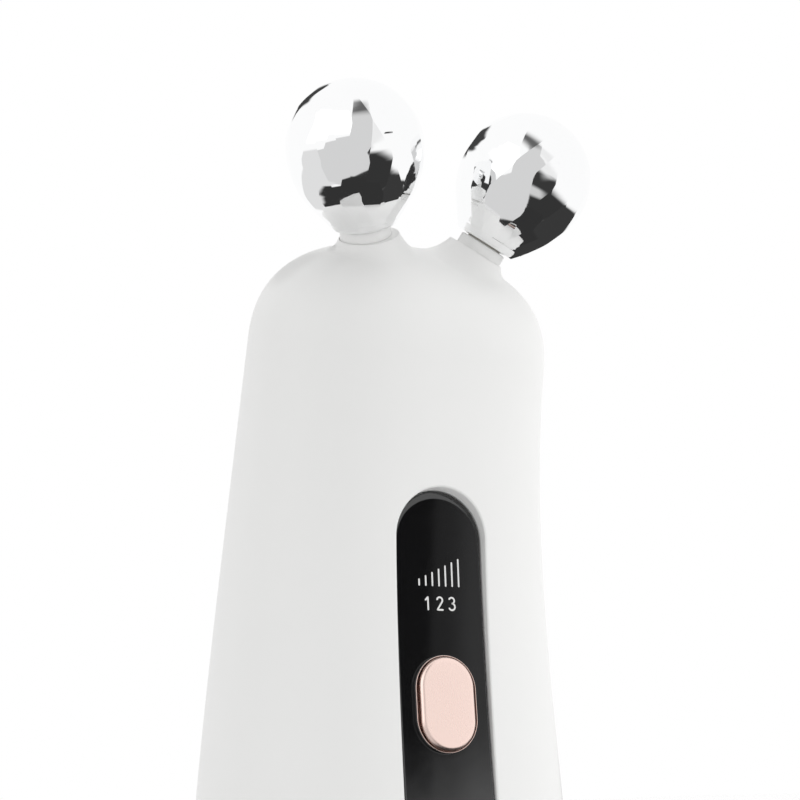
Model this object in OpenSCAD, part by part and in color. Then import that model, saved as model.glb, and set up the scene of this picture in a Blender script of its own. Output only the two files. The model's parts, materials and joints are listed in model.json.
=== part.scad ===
// Facial toning device: a leaning hand piece with two faceted rollers that spin on
// splayed posts, a recessed front panel and one push button. Millimetres.
// Frame: origin at the middle of the base, +Z up the handle, the panel faces -Y.
// The handle stands on its foot pad, and the head leans towards -Y.

/* [Body] */
// height of the crown of the hand piece, measured up its curved middle line
body_height = 127.9; // [115:0.1:140]
// half the width of the body at the base
base_half_width = 27.4; // [24:0.1:30]
// how far the waist is drawn in on each side
waist_draw = 4.6; // [2:0.1:6]
// how high up the waist is drawn in: more keeps the base straighter
waist_power = 2.5; // [1.4:0.1:3.5]
// half the depth of the body at the base
base_half_depth = 26.7; // [22:0.1:28]
// how much half-depth the body loses by its shoulders
depth_taper = 10.55; // [6:0.05:12]
// height of the crown, from where the shoulders start to close
crown_height = 15.7; // [12:0.1:22]
// roundness of the body's cross-section: 2 is an ellipse, more is squarer
section_power = 2.53; // [2:0.01:3]
// roundness of the crown
crown_power = 2.45; // [2:0.01:3]
// how far the crown leans forward of the base
forward_lean = 14.75; // [10:0.1:20]
// how late the lean starts: more keeps the lower body upright
lean_power = 3.54; // [2.5:0.02:5]
// thickness of the moulded wall
wall = 2.2; // [1.6:0.1:3]
// points round each section of the body
ring_points = 96; // [48:8:96]

/* [Rollers] */
// diameter of each roller ball
ball_diameter = 20; // [18:0.5:22]
// half the distance between the two ball centres
ball_spread = 14.1; // [13:0.1:16]
// how far the ball centres sit in front of the crown's end
ball_reach = 10.45; // [8:0.05:14]
// how far the ball centres sit above the crown's end
ball_rise = 9.3; // [6:0.1:14]
// sideways splay of each post
splay = 20.9; // [15:0.1:28]
// forward tilt of each post
tilt = 33.05; // [25:0.05:40]
// distance from a ball's centre down to the end of its skirt
skirt_length = 11.28; // [10.5:0.01:13]
// radius of the skirt's end
skirt_radius = 4.85; // [4:0.05:6]
// facets round each row
facet_count = 18; // [12:1:24]
// height of one row of facets up the ball's outline, from point to point
facet_pitch = 9.5; // [7:0.1:12]
// height of the pointed ends where two rows interlock
facet_point = 4.2; // [2:0.1:6]
// distance up the outline from the ball's equator to the middle row's lower shoulders
facet_start = -0.9; // [-3:0.1:2]
// radius of the steel posts
post_radius = 2; // [1.5:0.1:2.5]
// radial running gap between a post and the bush that turns on it
running_gap = 0.04; // [0.02:0.01:0.08]

/* [Collars] */
// radius of the white collar under each roller
collar_radius = 3.75; // [3.2:0.05:4.4]
// height of the collar that shows above its turret
collar_height = 1.65; // [1:0.05:2.5]
// radius of the turret that rises out of the shoulder to carry the collar
turret_radius = 4.45; // [4:0.05:5.5]
// how far the turret's rim is set towards the middle of the head
turret_offset = 0.55; // [0:0.05:1]
// flare of the turret's side, from its axis
turret_flare = 18.5; // [5:0.5:35]
// softness of the blend from the crown into the turret
turret_blend = 3; // [2:0.5:10]

/* [Panel] */
// half the width of the recess in the front
panel_half_width = 7; // [6:0.1:9]
// length of the recess; the button is at its middle
panel_length = 59.2; // [50:0.2:66]
// height of the recess's middle above the ground
panel_height = 59.7; // [55:0.1:65]
// lean of the panel back from upright at its middle
panel_lean = 3.6; // [1:0.1:6]
// how deep the panel's face lies below the body's front, at its middle
panel_sink = 1.05; // [0.6:0.05:2]
// radius of the panel's bend: its ends come forward
panel_bend = 420; // [300:5:700]
// thickness of the panel plate
panel_thickness = 1; // [0.8:0.1:1.6]
// thickness of the adhesive sheet behind it
adhesive = 0.2; // [0.1:0.05:0.4]
// gap between the panel's edge and the recess
panel_gap = 0.12; // [0.08:0.02:0.25]

/* [Button] */
// half the width of the ring round the button
bezel_half_width = 4.8; // [4:0.1:6]
// height of the ring round the button
bezel_length = 13; // [10:0.1:16]
// width of the ring's band
bezel_band = 0.5; // [0.4:0.05:1]
// how far the ring stands out of the panel
bezel_rise = 0.7; // [0.3:0.05:1]
// gap between the button and its ring
button_gap = 0.12; // [0.08:0.02:0.25]
// how far the button stands out of the panel
button_rise = 1.0; // [0.6:0.05:1.6]
// how far the button can be pushed in
button_travel = 0.6; // [0.3:0.05:1]

/* [Inside] */
// diameter of the rechargeable cell
cell_diameter = 14; // [12:0.5:18]
// length of the rechargeable cell
cell_length = 50; // [34:1:60]
// height of the cell's lower end
cell_base = 24; // [20:1:34]
// thickness of the circuit board
board_thickness = 1.2; // [0.8:0.2:1.6]
// half the width of the circuit board
board_half_width = 12; // [9:0.5:14]
// distance from the panel's face back to the circuit board
board_depth = 6.8; // [5.5:0.1:9]
// thickness of the frame's floor and plates
frame_plate = 2; // [1.5:0.1:3]

/* [Base] */
// thickness of the base cap
cap_thickness = 3.2; // [3:0.1:4]
// how far the foot pad stands below the body
foot_rise = 0.8; // [0.5:0.1:1.5]
// rounding of the body's lower edge
base_round = 1.6; // [0.8:0.1:3]
// height of the middle of the charging inlet
inlet_height = 10; // [8:0.5:14]
// half the width of the charging inlet's shell
inlet_half_width = 4.47; // [4:0.01:5]
// half the height of the charging inlet's shell
inlet_half_height = 1.63; // [1.4:0.01:2]

/* [Colours] */
// moulded body, collars and base cap
body_colour = [0.93, 0.93, 0.92];
// front panel
panel_colour = [0.02, 0.02, 0.025];
// plated button and ring
button_colour = [0.88, 0.68, 0.58];
// plated rollers
metal_colour = [0.86, 0.87, 0.88];

/* [Hidden] */
$fn = 64;

shoulder_height = body_height - crown_height;
ball_radius = ball_diameter / 2;
ball_forward = forward_lean + ball_reach;
ball_height = body_height + ball_rise;
eps = 0.02;
left = -1;
right = 1;

// ---- the body's curved middle line and its sections ----
function lean_at(z) = -forward_lean * pow(max(z, 0) / body_height, lean_power);
function tilt_at(z) = atan(forward_lean * lean_power / body_height
                           * pow(max(z, 0) / body_height, lean_power - 1));
function half_width(z) = base_half_width
  - waist_draw * pow(sin(90 * min(z, shoulder_height) / shoulder_height), waist_power);
function half_depth(z) = base_half_depth - depth_taper * pow(z / shoulder_height, 1.15);
// shrinks the sections to close the crown
function crown(z) = z <= shoulder_height ? 1
  : pow(1 - pow((z - shoulder_height) / (body_height - shoulder_height), crown_power),
        1 / crown_power);
// shrinks the lowest sections to round the base's edge
function hem(z) = z >= foot_rise + base_round ? 0
  : base_round - sqrt(max(0, pow(base_round, 2) - pow(foot_rise + base_round - z, 2)));
function signed_power(v, p) = sign(v) * pow(abs(v), p);
function section_point(a, b, t) = [a * signed_power(cos(t), 2 / section_power),
                                   b * signed_power(sin(t), 2 / section_power)];
function placed(p, z) = [p.x, lean_at(z) + p.y * cos(tilt_at(z)), z + p.y * sin(tilt_at(z))];
function section(z, inset, count) =
  let (k = crown(z), a = (half_width(z) - hem(z)) * k - inset, b = (half_depth(z) - hem(z)) * k - inset)
  [for (i = [0:count - 1]) placed(section_point(a, b, 360 * i / count), z)];

// y of the body's front in its middle, at a height: the sections are tilted, so it's found in steps
function front_section(z, k = 4) = k == 0 ? z : let (q = front_section(z, k - 1)) z + half_depth(q) * sin(tilt_at(q));
function front_at(z) = let (q = front_section(z)) lean_at(q) - half_depth(q) * cos(tilt_at(q));

// ---- the posts, which the collars, turrets and rollers are placed along ----
function post_axis(side) = [side * sin(splay), -cos(splay) * sin(tilt), cos(splay) * cos(tilt)];
function ball_centre(side) = [side * ball_spread, -ball_forward, ball_height];
skirt_gap = 0.25;
turret_top = skirt_length + skirt_gap + collar_height;

// ---- the hills that rise out of the crown to meet the turrets ----
function unit(v) = v / norm(v);
// both posts' lines cross here, inside the head
crossing = ball_centre(right) - ball_spread / sin(splay) * post_axis(right);
// the turret's rim is moved towards the middle of the head
function inward(side) = [-side * cos(splay), -sin(splay) * sin(tilt), sin(splay) * cos(tilt)];
function rim_centre(side) = ball_centre(side) - turret_top * post_axis(side) + turret_offset * inward(side);
rim_reach = norm(rim_centre(right) - crossing);
// distance from the crossing out to a hill, in one direction; it stays just inside the turret
function hill(dir, side) =
  let (c = dir * unit(rim_centre(side) - crossing), t = sqrt(max(1 - c * c, 0)) / max(c, 1e-6),
       k = tan(turret_flare))
  c <= 0 ? 0 : min((turret_radius - hill_inset + rim_reach * k) / (t + k), rim_reach - rim_edge) / c;
function soft_max(a, b, k) = let (h = max(k - abs(a - b), 0) / k) max(a, b) + h * h * k / 4;
function swollen(p) =
  let (v = p - crossing, r = norm(v), dir = v / r)
  v.z < -8 ? p : crossing + dir * soft_max(soft_max(r, hill(dir, left), turret_blend),
                                           hill(dir, right), turret_blend);

// ---- lofted solids: rings of points, capped at both ends ----
module loft(rings) {
  n = len(rings[0]);
  m = len(rings);
  points = [for (ring = rings) for (p = ring) p];
  sides = [for (j = [0:m - 2]) for (i = [0:n - 1]) let (
      a = j * n + i, b = j * n + (i + 1) % n, c = a + n, d = b + n)
    for (f = [[a, c, b], [b, c, d]]) f];
  bottom = [for (i = [1:n - 2]) [0, i, i + 1]];
  top = [for (i = [1:n - 2]) [(m - 1) * n, (m - 1) * n + i + 1, (m - 1) * n + i]];
  polyhedron(points = points, faces = concat(bottom, sides, top), convexity = 6);
}

// a flat plate with the outline of the body's section at the base
module base_outline(inset, count = ring_points)
  polygon([for (i = [0:count - 1])
    section_point(base_half_width - inset, base_half_depth - inset, 360 * i / count)]);

module body_form() {
  hem_rows = [for (i = [0:3]) foot_rise + base_round * (1 - cos(30 * i))];
  wall_rows = [for (i = [1:12]) let (low = foot_rise + base_round)
    low + (shoulder_height - low) * i / 12];
  crown_rows = [for (i = [1:crown_steps]) let (t = 88.5 * i / crown_steps)
    shoulder_height + crown_height * pow(sin(t), 2 / crown_power)];
  loft([for (z = concat(hem_rows, wall_rows, crown_rows))
    [for (p = section(z, 0, ring_points)) swollen(p)]]);
}

// the hollow inside the body, open at the base
cavity_top = body_height - 22.9;
cavity_points = 36;
cavity_rows = 14;
// keeps a point of the hollow behind the slab that carries the panel
function behind_panel(p) = let (v = p.z - panel_height)
  abs(v) > panel_length / 2 + 3 ? p
  : [p.x, max(p.y, -panel_forward + v * tan(panel_lean) - v * v / (2 * panel_bend) + slab_back), p.z];
module body_hollow() {
  rows = concat([-1], [for (i = [0:cavity_rows]) 4 + (cavity_top - 4) * i / cavity_rows]);
  loft([for (z = rows) [for (p = section(max(z, 4), wall, cavity_points))
    behind_panel(p) + (z < 0 ? [0, 0, -5] : [0, 0, 0])]]);
}

// ---- frames ----
module on_post(side)
  translate(ball_centre(side)) rotate([tilt, 0, 0]) rotate([0, side * splay, 0]) children();
module on_spine(z)
  translate([0, lean_at(z), z]) rotate([tilt_at(z), 0, 0]) children();
// x across, y up the panel from its middle, z out of its face there
module on_panel()
  translate([0, -panel_forward, panel_height]) rotate([90 - panel_lean, 0, 0]) children();
// all that is in front of the bent face, moved out by rise
module before_face(rise, half_width = 12)
  translate([-half_width, 0, panel_bend]) rotate([0, 90, 0])
    cylinder(r = panel_bend - rise, h = 2 * half_width, $fn = 720);
// a pill-shaped sheet that follows the face, between two heights from it
module bent_pill(r, l, low, high) difference() {
  intersection() {
    pill(r, l, low - 1, high + 4);
    before_face(low);
  }
  before_face(high, 13);
}

// the same frames for single points
function from_spine(p, z) = let (t = tilt_at(z))
  [p.x, lean_at(z) + p.y * cos(t) - p.z * sin(t), z + p.y * sin(t) + p.z * cos(t)];
function from_panel(p) =
  [p.x, -panel_forward + p.y * sin(panel_lean) - p.z * cos(panel_lean),
   panel_height + p.y * cos(panel_lean) + p.z * sin(panel_lean)];

module tube(outer, inner, low, high) {
  translate([0, 0, low]) difference() {
    cylinder(r = outer, h = high - low);
    translate([0, 0, -1]) cylinder(r = inner, h = high - low + 2);
  }
}
module rod(radius, low, high) translate([0, 0, low]) cylinder(r = radius, h = high - low);

// a plate with round ends: half width r, overall length l, from z = low to high
module pill(r, l, low, high) translate([0, 0, low]) linear_extrude(high - low)
  union() {
    for (s = [-1, 1]) translate([0, s * (l / 2 - r)]) circle(r = r);
    square([2 * r, l - 2 * r], center = true);
  }
module block(x, y, z) translate([x[0], y[0], z[0]]) cube([x[1] - x[0], y[1] - y[0], z[1] - z[0]]);

// a round wire along a path
module wire(path, r) {
  for (i = [0:len(path) - 2]) {
    v = path[i + 1] - path[i];
    translate(path[i]) rotate([0, acos(v.z / norm(v)), atan2(v.y, v.x)]) cylinder(r = r, h = norm(v));
  }
  for (p = path) translate(p) sphere(r = r * 1.06);
}

// ---- derived sizes ----
recess_floor = panel_thickness + adhesive;
slab_back = recess_floor + 1.8;
button_half_width = bezel_half_width - bezel_band - button_gap;
button_length = bezel_length - 2 * (bezel_band + button_gap);
lamp_spots = [-2, 0, 2];
lamp_rise = 18;
stem_radius = 1.6;
switch_height = 1.4;
dome_thickness = 1;
flange_thickness = 0.95;
board_front = board_depth;
board_back = board_depth + board_thickness;
board_top = 23.6;
board_end = -36.4;
bush_radius = 3.2;
bush_top = -1;
bush_low = -skirt_length + 0.3;
post_low = -31;
post_high = 1.4;
clip_low = bush_top + 0.35;
clip_thickness = 0.6;
groove_radius = 1.5;
collar_top = -skirt_length - skirt_gap;
collar_low = -turret_top;
rim_edge = 0.2;
turret_sink = 4.6;
hill_inset = 0.25;
crown_steps = 26;
shank_radius = 3;
shank_low = collar_low - 3;
seal_height = 1.2;
cap_low = foot_rise + 0.1;
cap_top = cap_low + cap_thickness;
cap_inset = wall + 0.15;
floor_top = cap_top + frame_plate;
pad_inset = 3.6;
pad_top = cap_low + 1;
head_top = pad_top + 1.2;
screw_inset = 9.9;
screw_spots = [[screw_inset - base_half_width, 1], [base_half_width - screw_inset, 1],
               [0, screw_inset - base_half_depth]];
panel_forward = -front_at(panel_height) - panel_sink;
boss_radius = 2.8;
screw_radius = 1.1;
yoke_z = cavity_top;
yoke_low = -3;
yoke_high = 11;
yoke_half_width = 10.6;
yoke_screw = [8, 3.2];
yoke_thread = 4;
pad_spot = [3, 1];
yoke_front = -4.6;
yoke_back = 5.4;

// ---- faceted ball: rows of pointed facets, each row half a step round from the next ----
// The outline is a circle that runs out tangentially into a conical skirt. At every height
// the section is a polygon with two corners a facet step; a corner pair closes to a point
// in the middle of one row's facets and opens again in the next row.
skirt_angle = 31.2;
// s is the distance up the outline from the ball's equator: [radius, height]
function ball_outline(s) =
  let (turn = s / ball_radius * 180 / PI, d = -s - ball_radius * skirt_angle * PI / 180)
  d > 0 ? [ball_radius * cos(skirt_angle) - d * sin(skirt_angle),
           -ball_radius * sin(skirt_angle) - d * cos(skirt_angle)]
        : [ball_radius * cos(turn), ball_radius * sin(turn)];
skirt_start = -7.5;
pole = 15.3;
function ring(s, row, share) =
  let (step = 360 / facet_count, p = ball_outline(s),
       corners = share == 0 ? [[0.5, 0]] : [[-0.5, 1], [0.5, 1]])
  [for (j = [0:facet_count - 1]) for (e = corners)
    let (t = step * (j + row / 2 + e[0] * (1 - share))) [p[0] * cos(t), p[0] * sin(t), p[1]]];
// a ring of two corners a step uses its own corners; where the corners close on a
// facet's sides or on its point, a pair shares one
function corner(kind, c) = let (n = facet_count)
  kind == "open" ? c % (2 * n)
  : kind == "sides" ? (ceil((c % (2 * n)) / 2) - 1 + n) % n
  : (floor((c % (2 * n)) / 2) - 1 + n) % n;
module faceted_ball() {
  steps = 4;
  // each level: [distance up the outline, row, share of the next row]
  sides = [for (row = [0:2]) let (low = max(skirt_start, facet_start + (row - 1) * facet_pitch),
      high = min(pole, facet_start + row * facet_pitch - facet_point))
    [for (k = [0:steps]) [low + (high - low) * k / steps, row, 0]]];
  points_zone = [for (row = [0:1]) let (high = facet_start + row * facet_pitch)
    [for (k = [1:steps - 1]) [high - facet_point * (1 - k / steps), row, k / steps]]];
  levels = concat(sides[0], points_zone[0], sides[1], points_zone[1], sides[2]);
  foot = [for (j = [0:facet_count - 1]) let (t = 360 / facet_count * (j + 0.5))
    [skirt_radius * cos(t), skirt_radius * sin(t), -skirt_length]];
  rings = concat([foot], [for (l = levels) ring(l[0], l[1], l[2])]);
  rows = concat([0], [for (l = levels) l[1]]);
  starts = [for (i = 0, a = 0; i < len(rings); a = a + len(rings[i]), i = i + 1) a];
  function open_ring(i) = len(rings[i]) > facet_count;
  faces = [for (i = [0:len(rings) - 2]) for (c = [0:2 * facet_count - 1]) let (
      low = open_ring(i) ? "open" : "sides",
      high = open_ring(i + 1) ? "open" : rows[i + 1] == rows[i] ? "sides" : "points",
      a = starts[i] + corner(low, c), b = starts[i] + corner(low, c + 1),
      d = starts[i + 1] + corner(high, c), e = starts[i + 1] + corner(high, c + 1))
    for (f = [[a, d, b], [b, d, e]]) if (f[0] != f[1] && f[1] != f[2] && f[0] != f[2]) f];
  last = starts[len(rings) - 1];
  polyhedron(points = [for (r = rings) for (p = r) p], convexity = 4, faces = concat(
    [[for (j = [0:facet_count - 1]) j]], faces,
    [[for (j = [facet_count - 1:-1:0]) last + j]]));
}

module roller(side) color(metal_colour) on_post(side) difference() {
  faceted_ball();
  rod(bush_radius, -skirt_length - 1, bush_top);
  rod(bush_radius - 0.2, bush_top - eps, post_high + 1.6);
}
module bush(side) color([0.75, 0.6, 0.3]) on_post(side)
  tube(bush_radius, post_radius + running_gap, bush_low, bush_top);
module post(side) color([0.72, 0.73, 0.75]) on_post(side) difference() {
  rod(post_radius, post_low, post_high);
  tube(post_radius + 1, groove_radius, clip_low, clip_low + clip_thickness);
}
module collar(side) color(body_colour) on_post(side) difference() {
  union() {
    rod(collar_radius, collar_low, collar_top - 0.3);
    translate([0, 0, collar_top - 0.3]) cylinder(r1 = collar_radius, r2 = collar_radius - 0.3, h = 0.3);
    rod(shank_radius, shank_low, collar_low + eps);
  }
  rod(post_radius, shank_low - 1, collar_top + 1);
}

// the turret's flared side runs down into its hill
module turret(side) on_post(side) translate([-side * turret_offset, 0, -turret_top])
  rotate_extrude() polygon([[0, -turret_sink], [turret_radius + turret_sink * tan(turret_flare), -turret_sink],
    [turret_radius, -rim_edge], [turret_radius - rim_edge, 0], [0, 0]]);

module inlet_slot(grow, low, high)
  translate([0, high, inlet_height]) rotate([90, 0, 0]) linear_extrude(high - low) union() {
    w = inlet_half_width + grow;
    h = inlet_half_height + grow;
    for (s = [-1, 1]) translate([s * (w - h), 0]) circle(r = h);
    square([2 * (w - h), 2 * h], center = true);
  }
inlet_mouth = base_half_depth - 0.9;
inlet_depth = 7.3;

module housing() color(body_colour) difference() {
  union() {
    body_form();
    turret(left);
    turret(right);
  }
  body_hollow();
  // recess for the panel, and the hole for the button's stem
  on_panel() {
    intersection() {
      pill(panel_half_width, panel_length, -recess_floor - 1, 14);
      before_face(-recess_floor);
    }
    pill(button_half_width + 0.2, button_length + 0.4, -slab_back - 2, 1);
    // the windows of the lamps
    for (x = lamp_spots) translate([x, lamp_rise, -slab_back - 2]) cylinder(r = 0.7, h = slab_back + 2);
  }
  // bores for the collars and posts, and the pocket for the yoke
  for (side = [left, right]) on_post(side) {
    rod(shank_radius, shank_low - seal_height - 0.1, 0);
    rod(post_radius + 0.05, post_low - 6, 0);
    rod(turret_radius + 0.6, collar_low, 0);
  }
  on_spine(yoke_z) {
    block([-yoke_half_width, yoke_half_width], [yoke_front, yoke_back], [-4, yoke_high]);
    for (s = [left, right]) translate([s * yoke_screw.x, yoke_screw.y, 0])
      rod(screw_radius, yoke_high - 1, yoke_high + yoke_thread);
  }
  inlet_slot(0.35, inlet_mouth - inlet_depth - 6, base_half_depth + 5);
}

module base_cap() color(body_colour) difference() {
  translate([0, 0, cap_low]) linear_extrude(cap_thickness) base_outline(cap_inset + hem(foot_rise) * 0.5);
  translate([0, 0, cap_low - 1]) linear_extrude(pad_top - cap_low + 1) base_outline(pad_inset - 0.15);
  for (p = screw_spots) translate([p.x, p.y, 0]) {
    rod(screw_radius + 0.15, 0, 10);
    rod(2.4, 0, head_top);
  }
}
module foot_pad() color([0.35, 0.35, 0.36]) linear_extrude(pad_top) base_outline(pad_inset);
module base_screws() color([0.6, 0.6, 0.62]) for (p = screw_spots) translate([p.x, p.y, 0]) {
  difference() {
    rod(2.1, head_top - 1.1, head_top);
    translate([0, 0, pad_top - 1]) cylinder(r = 1.1, h = 1.7, $fn = 6);
  }
  rod(screw_radius, head_top - 0.1, head_top + 8);
}

module control_panel() color(panel_colour) on_panel() difference() {
  bent_pill(panel_half_width - panel_gap, panel_length - 2 * panel_gap, -panel_thickness, 0);
  pill(bezel_half_width - bezel_band / 2, bezel_length - bezel_band, -3, 3);
}
module panel_adhesive() color([0.5, 0.5, 0.48]) on_panel() difference() {
  bent_pill(panel_half_width - 0.6, panel_length - 1.2, -recess_floor, -panel_thickness);
  pill(bezel_half_width + 0.3, bezel_length + 0.6, -3, 3);
  for (x = lamp_spots) translate([x, lamp_rise, -3]) cylinder(r = 0.8, h = 6);
}
module button_bezel() color(button_colour) on_panel() difference() {
  union() {
    pill(bezel_half_width, bezel_length, 0.06, bezel_rise);
    pill(bezel_half_width - bezel_band / 2, bezel_length - bezel_band, 0.08 - recess_floor, 0.1);
  }
  pill(bezel_half_width - bezel_band, bezel_length - 2 * bezel_band, -3, 3);
}
module power_button() color(button_colour) on_panel() difference() {
  union() {
    pill(button_half_width, button_length, -recess_floor + button_travel, button_rise - 0.25);
    pill(button_half_width - 0.25, button_length - 0.5, button_rise - 0.3, button_rise);
    pill(button_half_width - 0.1, button_length - 0.2, -slab_back, -recess_floor + button_travel + eps);
    pill(button_half_width + 0.8, button_length + 1.6, -slab_back - 0.05 - flange_thickness, -slab_back - 0.05);
    rod(stem_radius, -board_front + switch_height + dome_thickness, -slab_back + eps);
  }
}
module button_dome() color([0.8, 0.8, 0.78]) on_panel() difference() {
  translate([0, 0, -board_front + switch_height]) cylinder(r = 1.7, h = dome_thickness);
  translate([0, 0, -board_front + switch_height - 1]) cylinder(r = 0.5, h = 1.2);
}
module button_switch() color([0.2, 0.2, 0.22]) on_panel()
  block([-2.6, 2.6], [-2.6, 2.6], [-board_front, -board_front + switch_height]);

module post_seals() color([0.15, 0.15, 0.15]) for (side = [left, right]) on_post(side)
  tube(shank_radius - 0.05, post_radius, shank_low - seal_height, shank_low);
module slip_washers() color([0.9, 0.88, 0.8]) for (side = [left, right]) on_post(side)
  tube(2.8, post_radius, collar_top, bush_low - 0.12);
module retaining_clips() color([0.3, 0.3, 0.32]) for (side = [left, right]) on_post(side) difference() {
  tube(2.6, groove_radius, clip_low, clip_low + clip_thickness);
  block([-0.7, 0.7], [0, 4], [clip_low - 1, clip_low + 2]);
}

module post_yoke() color([0.3, 0.32, 0.34]) difference() {
  on_spine(yoke_z) block([-yoke_half_width + 0.1, yoke_half_width - 0.1],
                         [yoke_front + 0.1, yoke_back - 0.1], [yoke_low, yoke_high - 0.1]);
  for (side = [left, right]) {
    on_post(side) rod(post_radius, post_low, 0);
    on_spine(yoke_z) translate([side * pad_spot.x, pad_spot.y, 0]) rod(1.4, yoke_low - 1, 6.6);
    on_spine(yoke_z) translate([side * yoke_screw.x, yoke_screw.y, 0]) {
      rod(screw_radius, yoke_low - 1, yoke_high + 1);
      rod(2.1, yoke_low - 1, yoke_low + 1.4);
    }
  }
}
module yoke_screws() color([0.6, 0.6, 0.62]) for (side = [left, right]) on_spine(yoke_z)
  translate([side * yoke_screw.x, yoke_screw.y, 0]) {
    difference() {
      rod(2, yoke_low, yoke_low + 1.4);
      translate([0, 0, yoke_low - 1]) cylinder(r = 1, h = 1.8, $fn = 6);
    }
    rod(screw_radius, yoke_low + 1.3, yoke_high + yoke_thread - 0.3);
  }
// a contact pad under each post, and its wire to the circuit board
module contact(side) color([0.85, 0.65, 0.35]) {
  on_spine(yoke_z) translate([side * pad_spot.x, pad_spot.y, 0]) rod(1.1, 5, 5.95);
  wire([from_spine([side * pad_spot.x, pad_spot.y, 5.2], yoke_z),
        from_spine([side * pad_spot.x, pad_spot.y, yoke_low - 3], yoke_z),
        from_panel([side * 6, board_top + 7, -board_front - 2.5]),
        from_panel([side * 6, board_top + 3, -board_front + 0.6]),
        from_panel([side * 6, board_top - 1.5, -board_front + 0.6])], 0.5);
}

plate_front = board_back + 1.2;
plate_back = plate_front + frame_plate;
function plate_y(z) = -panel_forward - (panel_height - z) * tan(panel_lean) + plate_front + 0.5;
board_screw_spots = [for (x = [-8.5, 8.5]) for (y = [board_top - 4, board_end + 4]) [x, y]];
clip_height = 7;
clip_heights = [cell_base + 8, cell_base + cell_length - 9 - clip_height];
clip_radius = cell_diameter / 2 + 1.6;
cell_y = 4.5;
module inner_frame() color([0.45, 0.47, 0.5]) difference() {
  union() {
    // floor, the bosses for the base screws and the rests for the charging board
    translate([0, 0, cap_top]) linear_extrude(frame_plate) base_outline(wall + 1.2);
    for (p = screw_spots) translate([p.x, p.y, 0]) rod(boss_radius, cap_top, cap_top + 9);
    for (s = [left, right]) block([s * 5.5 - 1, s * 5.5 + 1], [inlet_mouth - 10, inlet_mouth - 4],
                                  [floor_top - 0.5, inlet_height - inlet_half_height - 1]);
    // plate behind the circuit board, with a rail up each side
    on_panel() {
      block([-board_half_width - 1, board_half_width + 1], [floor_top - 1 - panel_height, board_top + 4],
            [-plate_back, -plate_front]);
      for (s = [left, right]) block([s * (board_half_width + 1) - 1, s * (board_half_width + 1) + 1],
        [floor_top - 1 - panel_height, board_top + 4], [-plate_back - 1.5, -plate_front]);
      for (p = board_screw_spots) translate(p) rod(2, -plate_front - 0.1, -board_back);
    }
    // seat and two clips round the cell, on brackets from the plate
    translate([0, cell_y, 0]) {
      rod(clip_radius, cell_base - 4, cell_base);
      for (z = clip_heights) tube(clip_radius, cell_diameter / 2 + 0.05, z, z + clip_height);
    }
    block([-5, 5], [plate_y(floor_top), cell_y], [floor_top - 1, cell_base - 3]);
    for (z = clip_heights)
      block([-4, 4], [plate_y(z), cell_y - cell_diameter / 2 - 0.4], [z, z + clip_height]);
  }
  // open side of the clips, the cell's seat, the screw holes and the hole for the charging lead
  for (z = clip_heights) block([-5.5, 5.5], [cell_y + 2, cell_y + 12], [z - 1, z + clip_height + 1]);
  translate([0, cell_y, 0]) rod(cell_diameter / 2 + 0.05, cell_base - 1.5, cell_base + 1);
  for (p = screw_spots) translate([p.x, p.y, 0]) rod(screw_radius, 0, cap_top + 8);
  on_panel() for (p = board_screw_spots) translate(p) rod(0.8, -board_back - 3, 0);
  on_panel() translate(lead_hole) rod(1.1, -plate_back - 1, -plate_front + 1);
}

module board_screws() color([0.6, 0.6, 0.62]) on_panel() for (p = board_screw_spots) translate(p) {
  difference() {
    rod(1.5, -board_front, -board_front + 0.9);
    translate([0, 0, -board_front + 0.3]) cylinder(r = 0.8, h = 1, $fn = 6);
  }
  rod(0.8, -board_back - 2.6, -board_front + eps);
}
module main_board() color([0.1, 0.35, 0.2]) on_panel() difference() {
  block([-board_half_width, board_half_width], [board_end, board_top], [-board_back, -board_front]);
  for (p = board_screw_spots) translate(p) rod(0.8, -board_back - 1, 0);
}
module controller_chip() color([0.08, 0.08, 0.09]) on_panel()
  block([-3.5, 3.5], [-22.4, -15.4], [-board_front, -board_front + 1]);
module pulse_transformer() color([0.25, 0.2, 0.15]) on_panel() {
  block([-4, 4], [7, 14], [-board_front, -board_front + 2.2]);
}
module storage_capacitor() color([0.2, 0.25, 0.5]) on_panel()
  translate([7.6, -12.4, -board_front]) cylinder(r = 2, h = 2.4);
module lamp_row() color([0.95, 0.95, 0.85]) on_panel() for (x = lamp_spots)
  block([x - 0.6, x + 0.6], [lamp_rise - 0.8, lamp_rise + 0.8], [-board_front, -board_front + 0.8]);

cell_top = cell_base - 0.5 + cell_length;
lead_radius = 0.55;
lead_x = board_half_width + 2.9;
lead_z = -board_front + 0.62;
lead_hole = [6.8, board_end - 4.6];
module rechargeable_cell() color([0.35, 0.5, 0.7]) translate([0, cell_y, 0]) {
  rod(cell_diameter / 2, cell_base - 1.5, cell_base - 1.5 + cell_length);
  rod(2.6, cell_base - 1.6 + cell_length, cell_base - 0.5 + cell_length);
}
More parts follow.
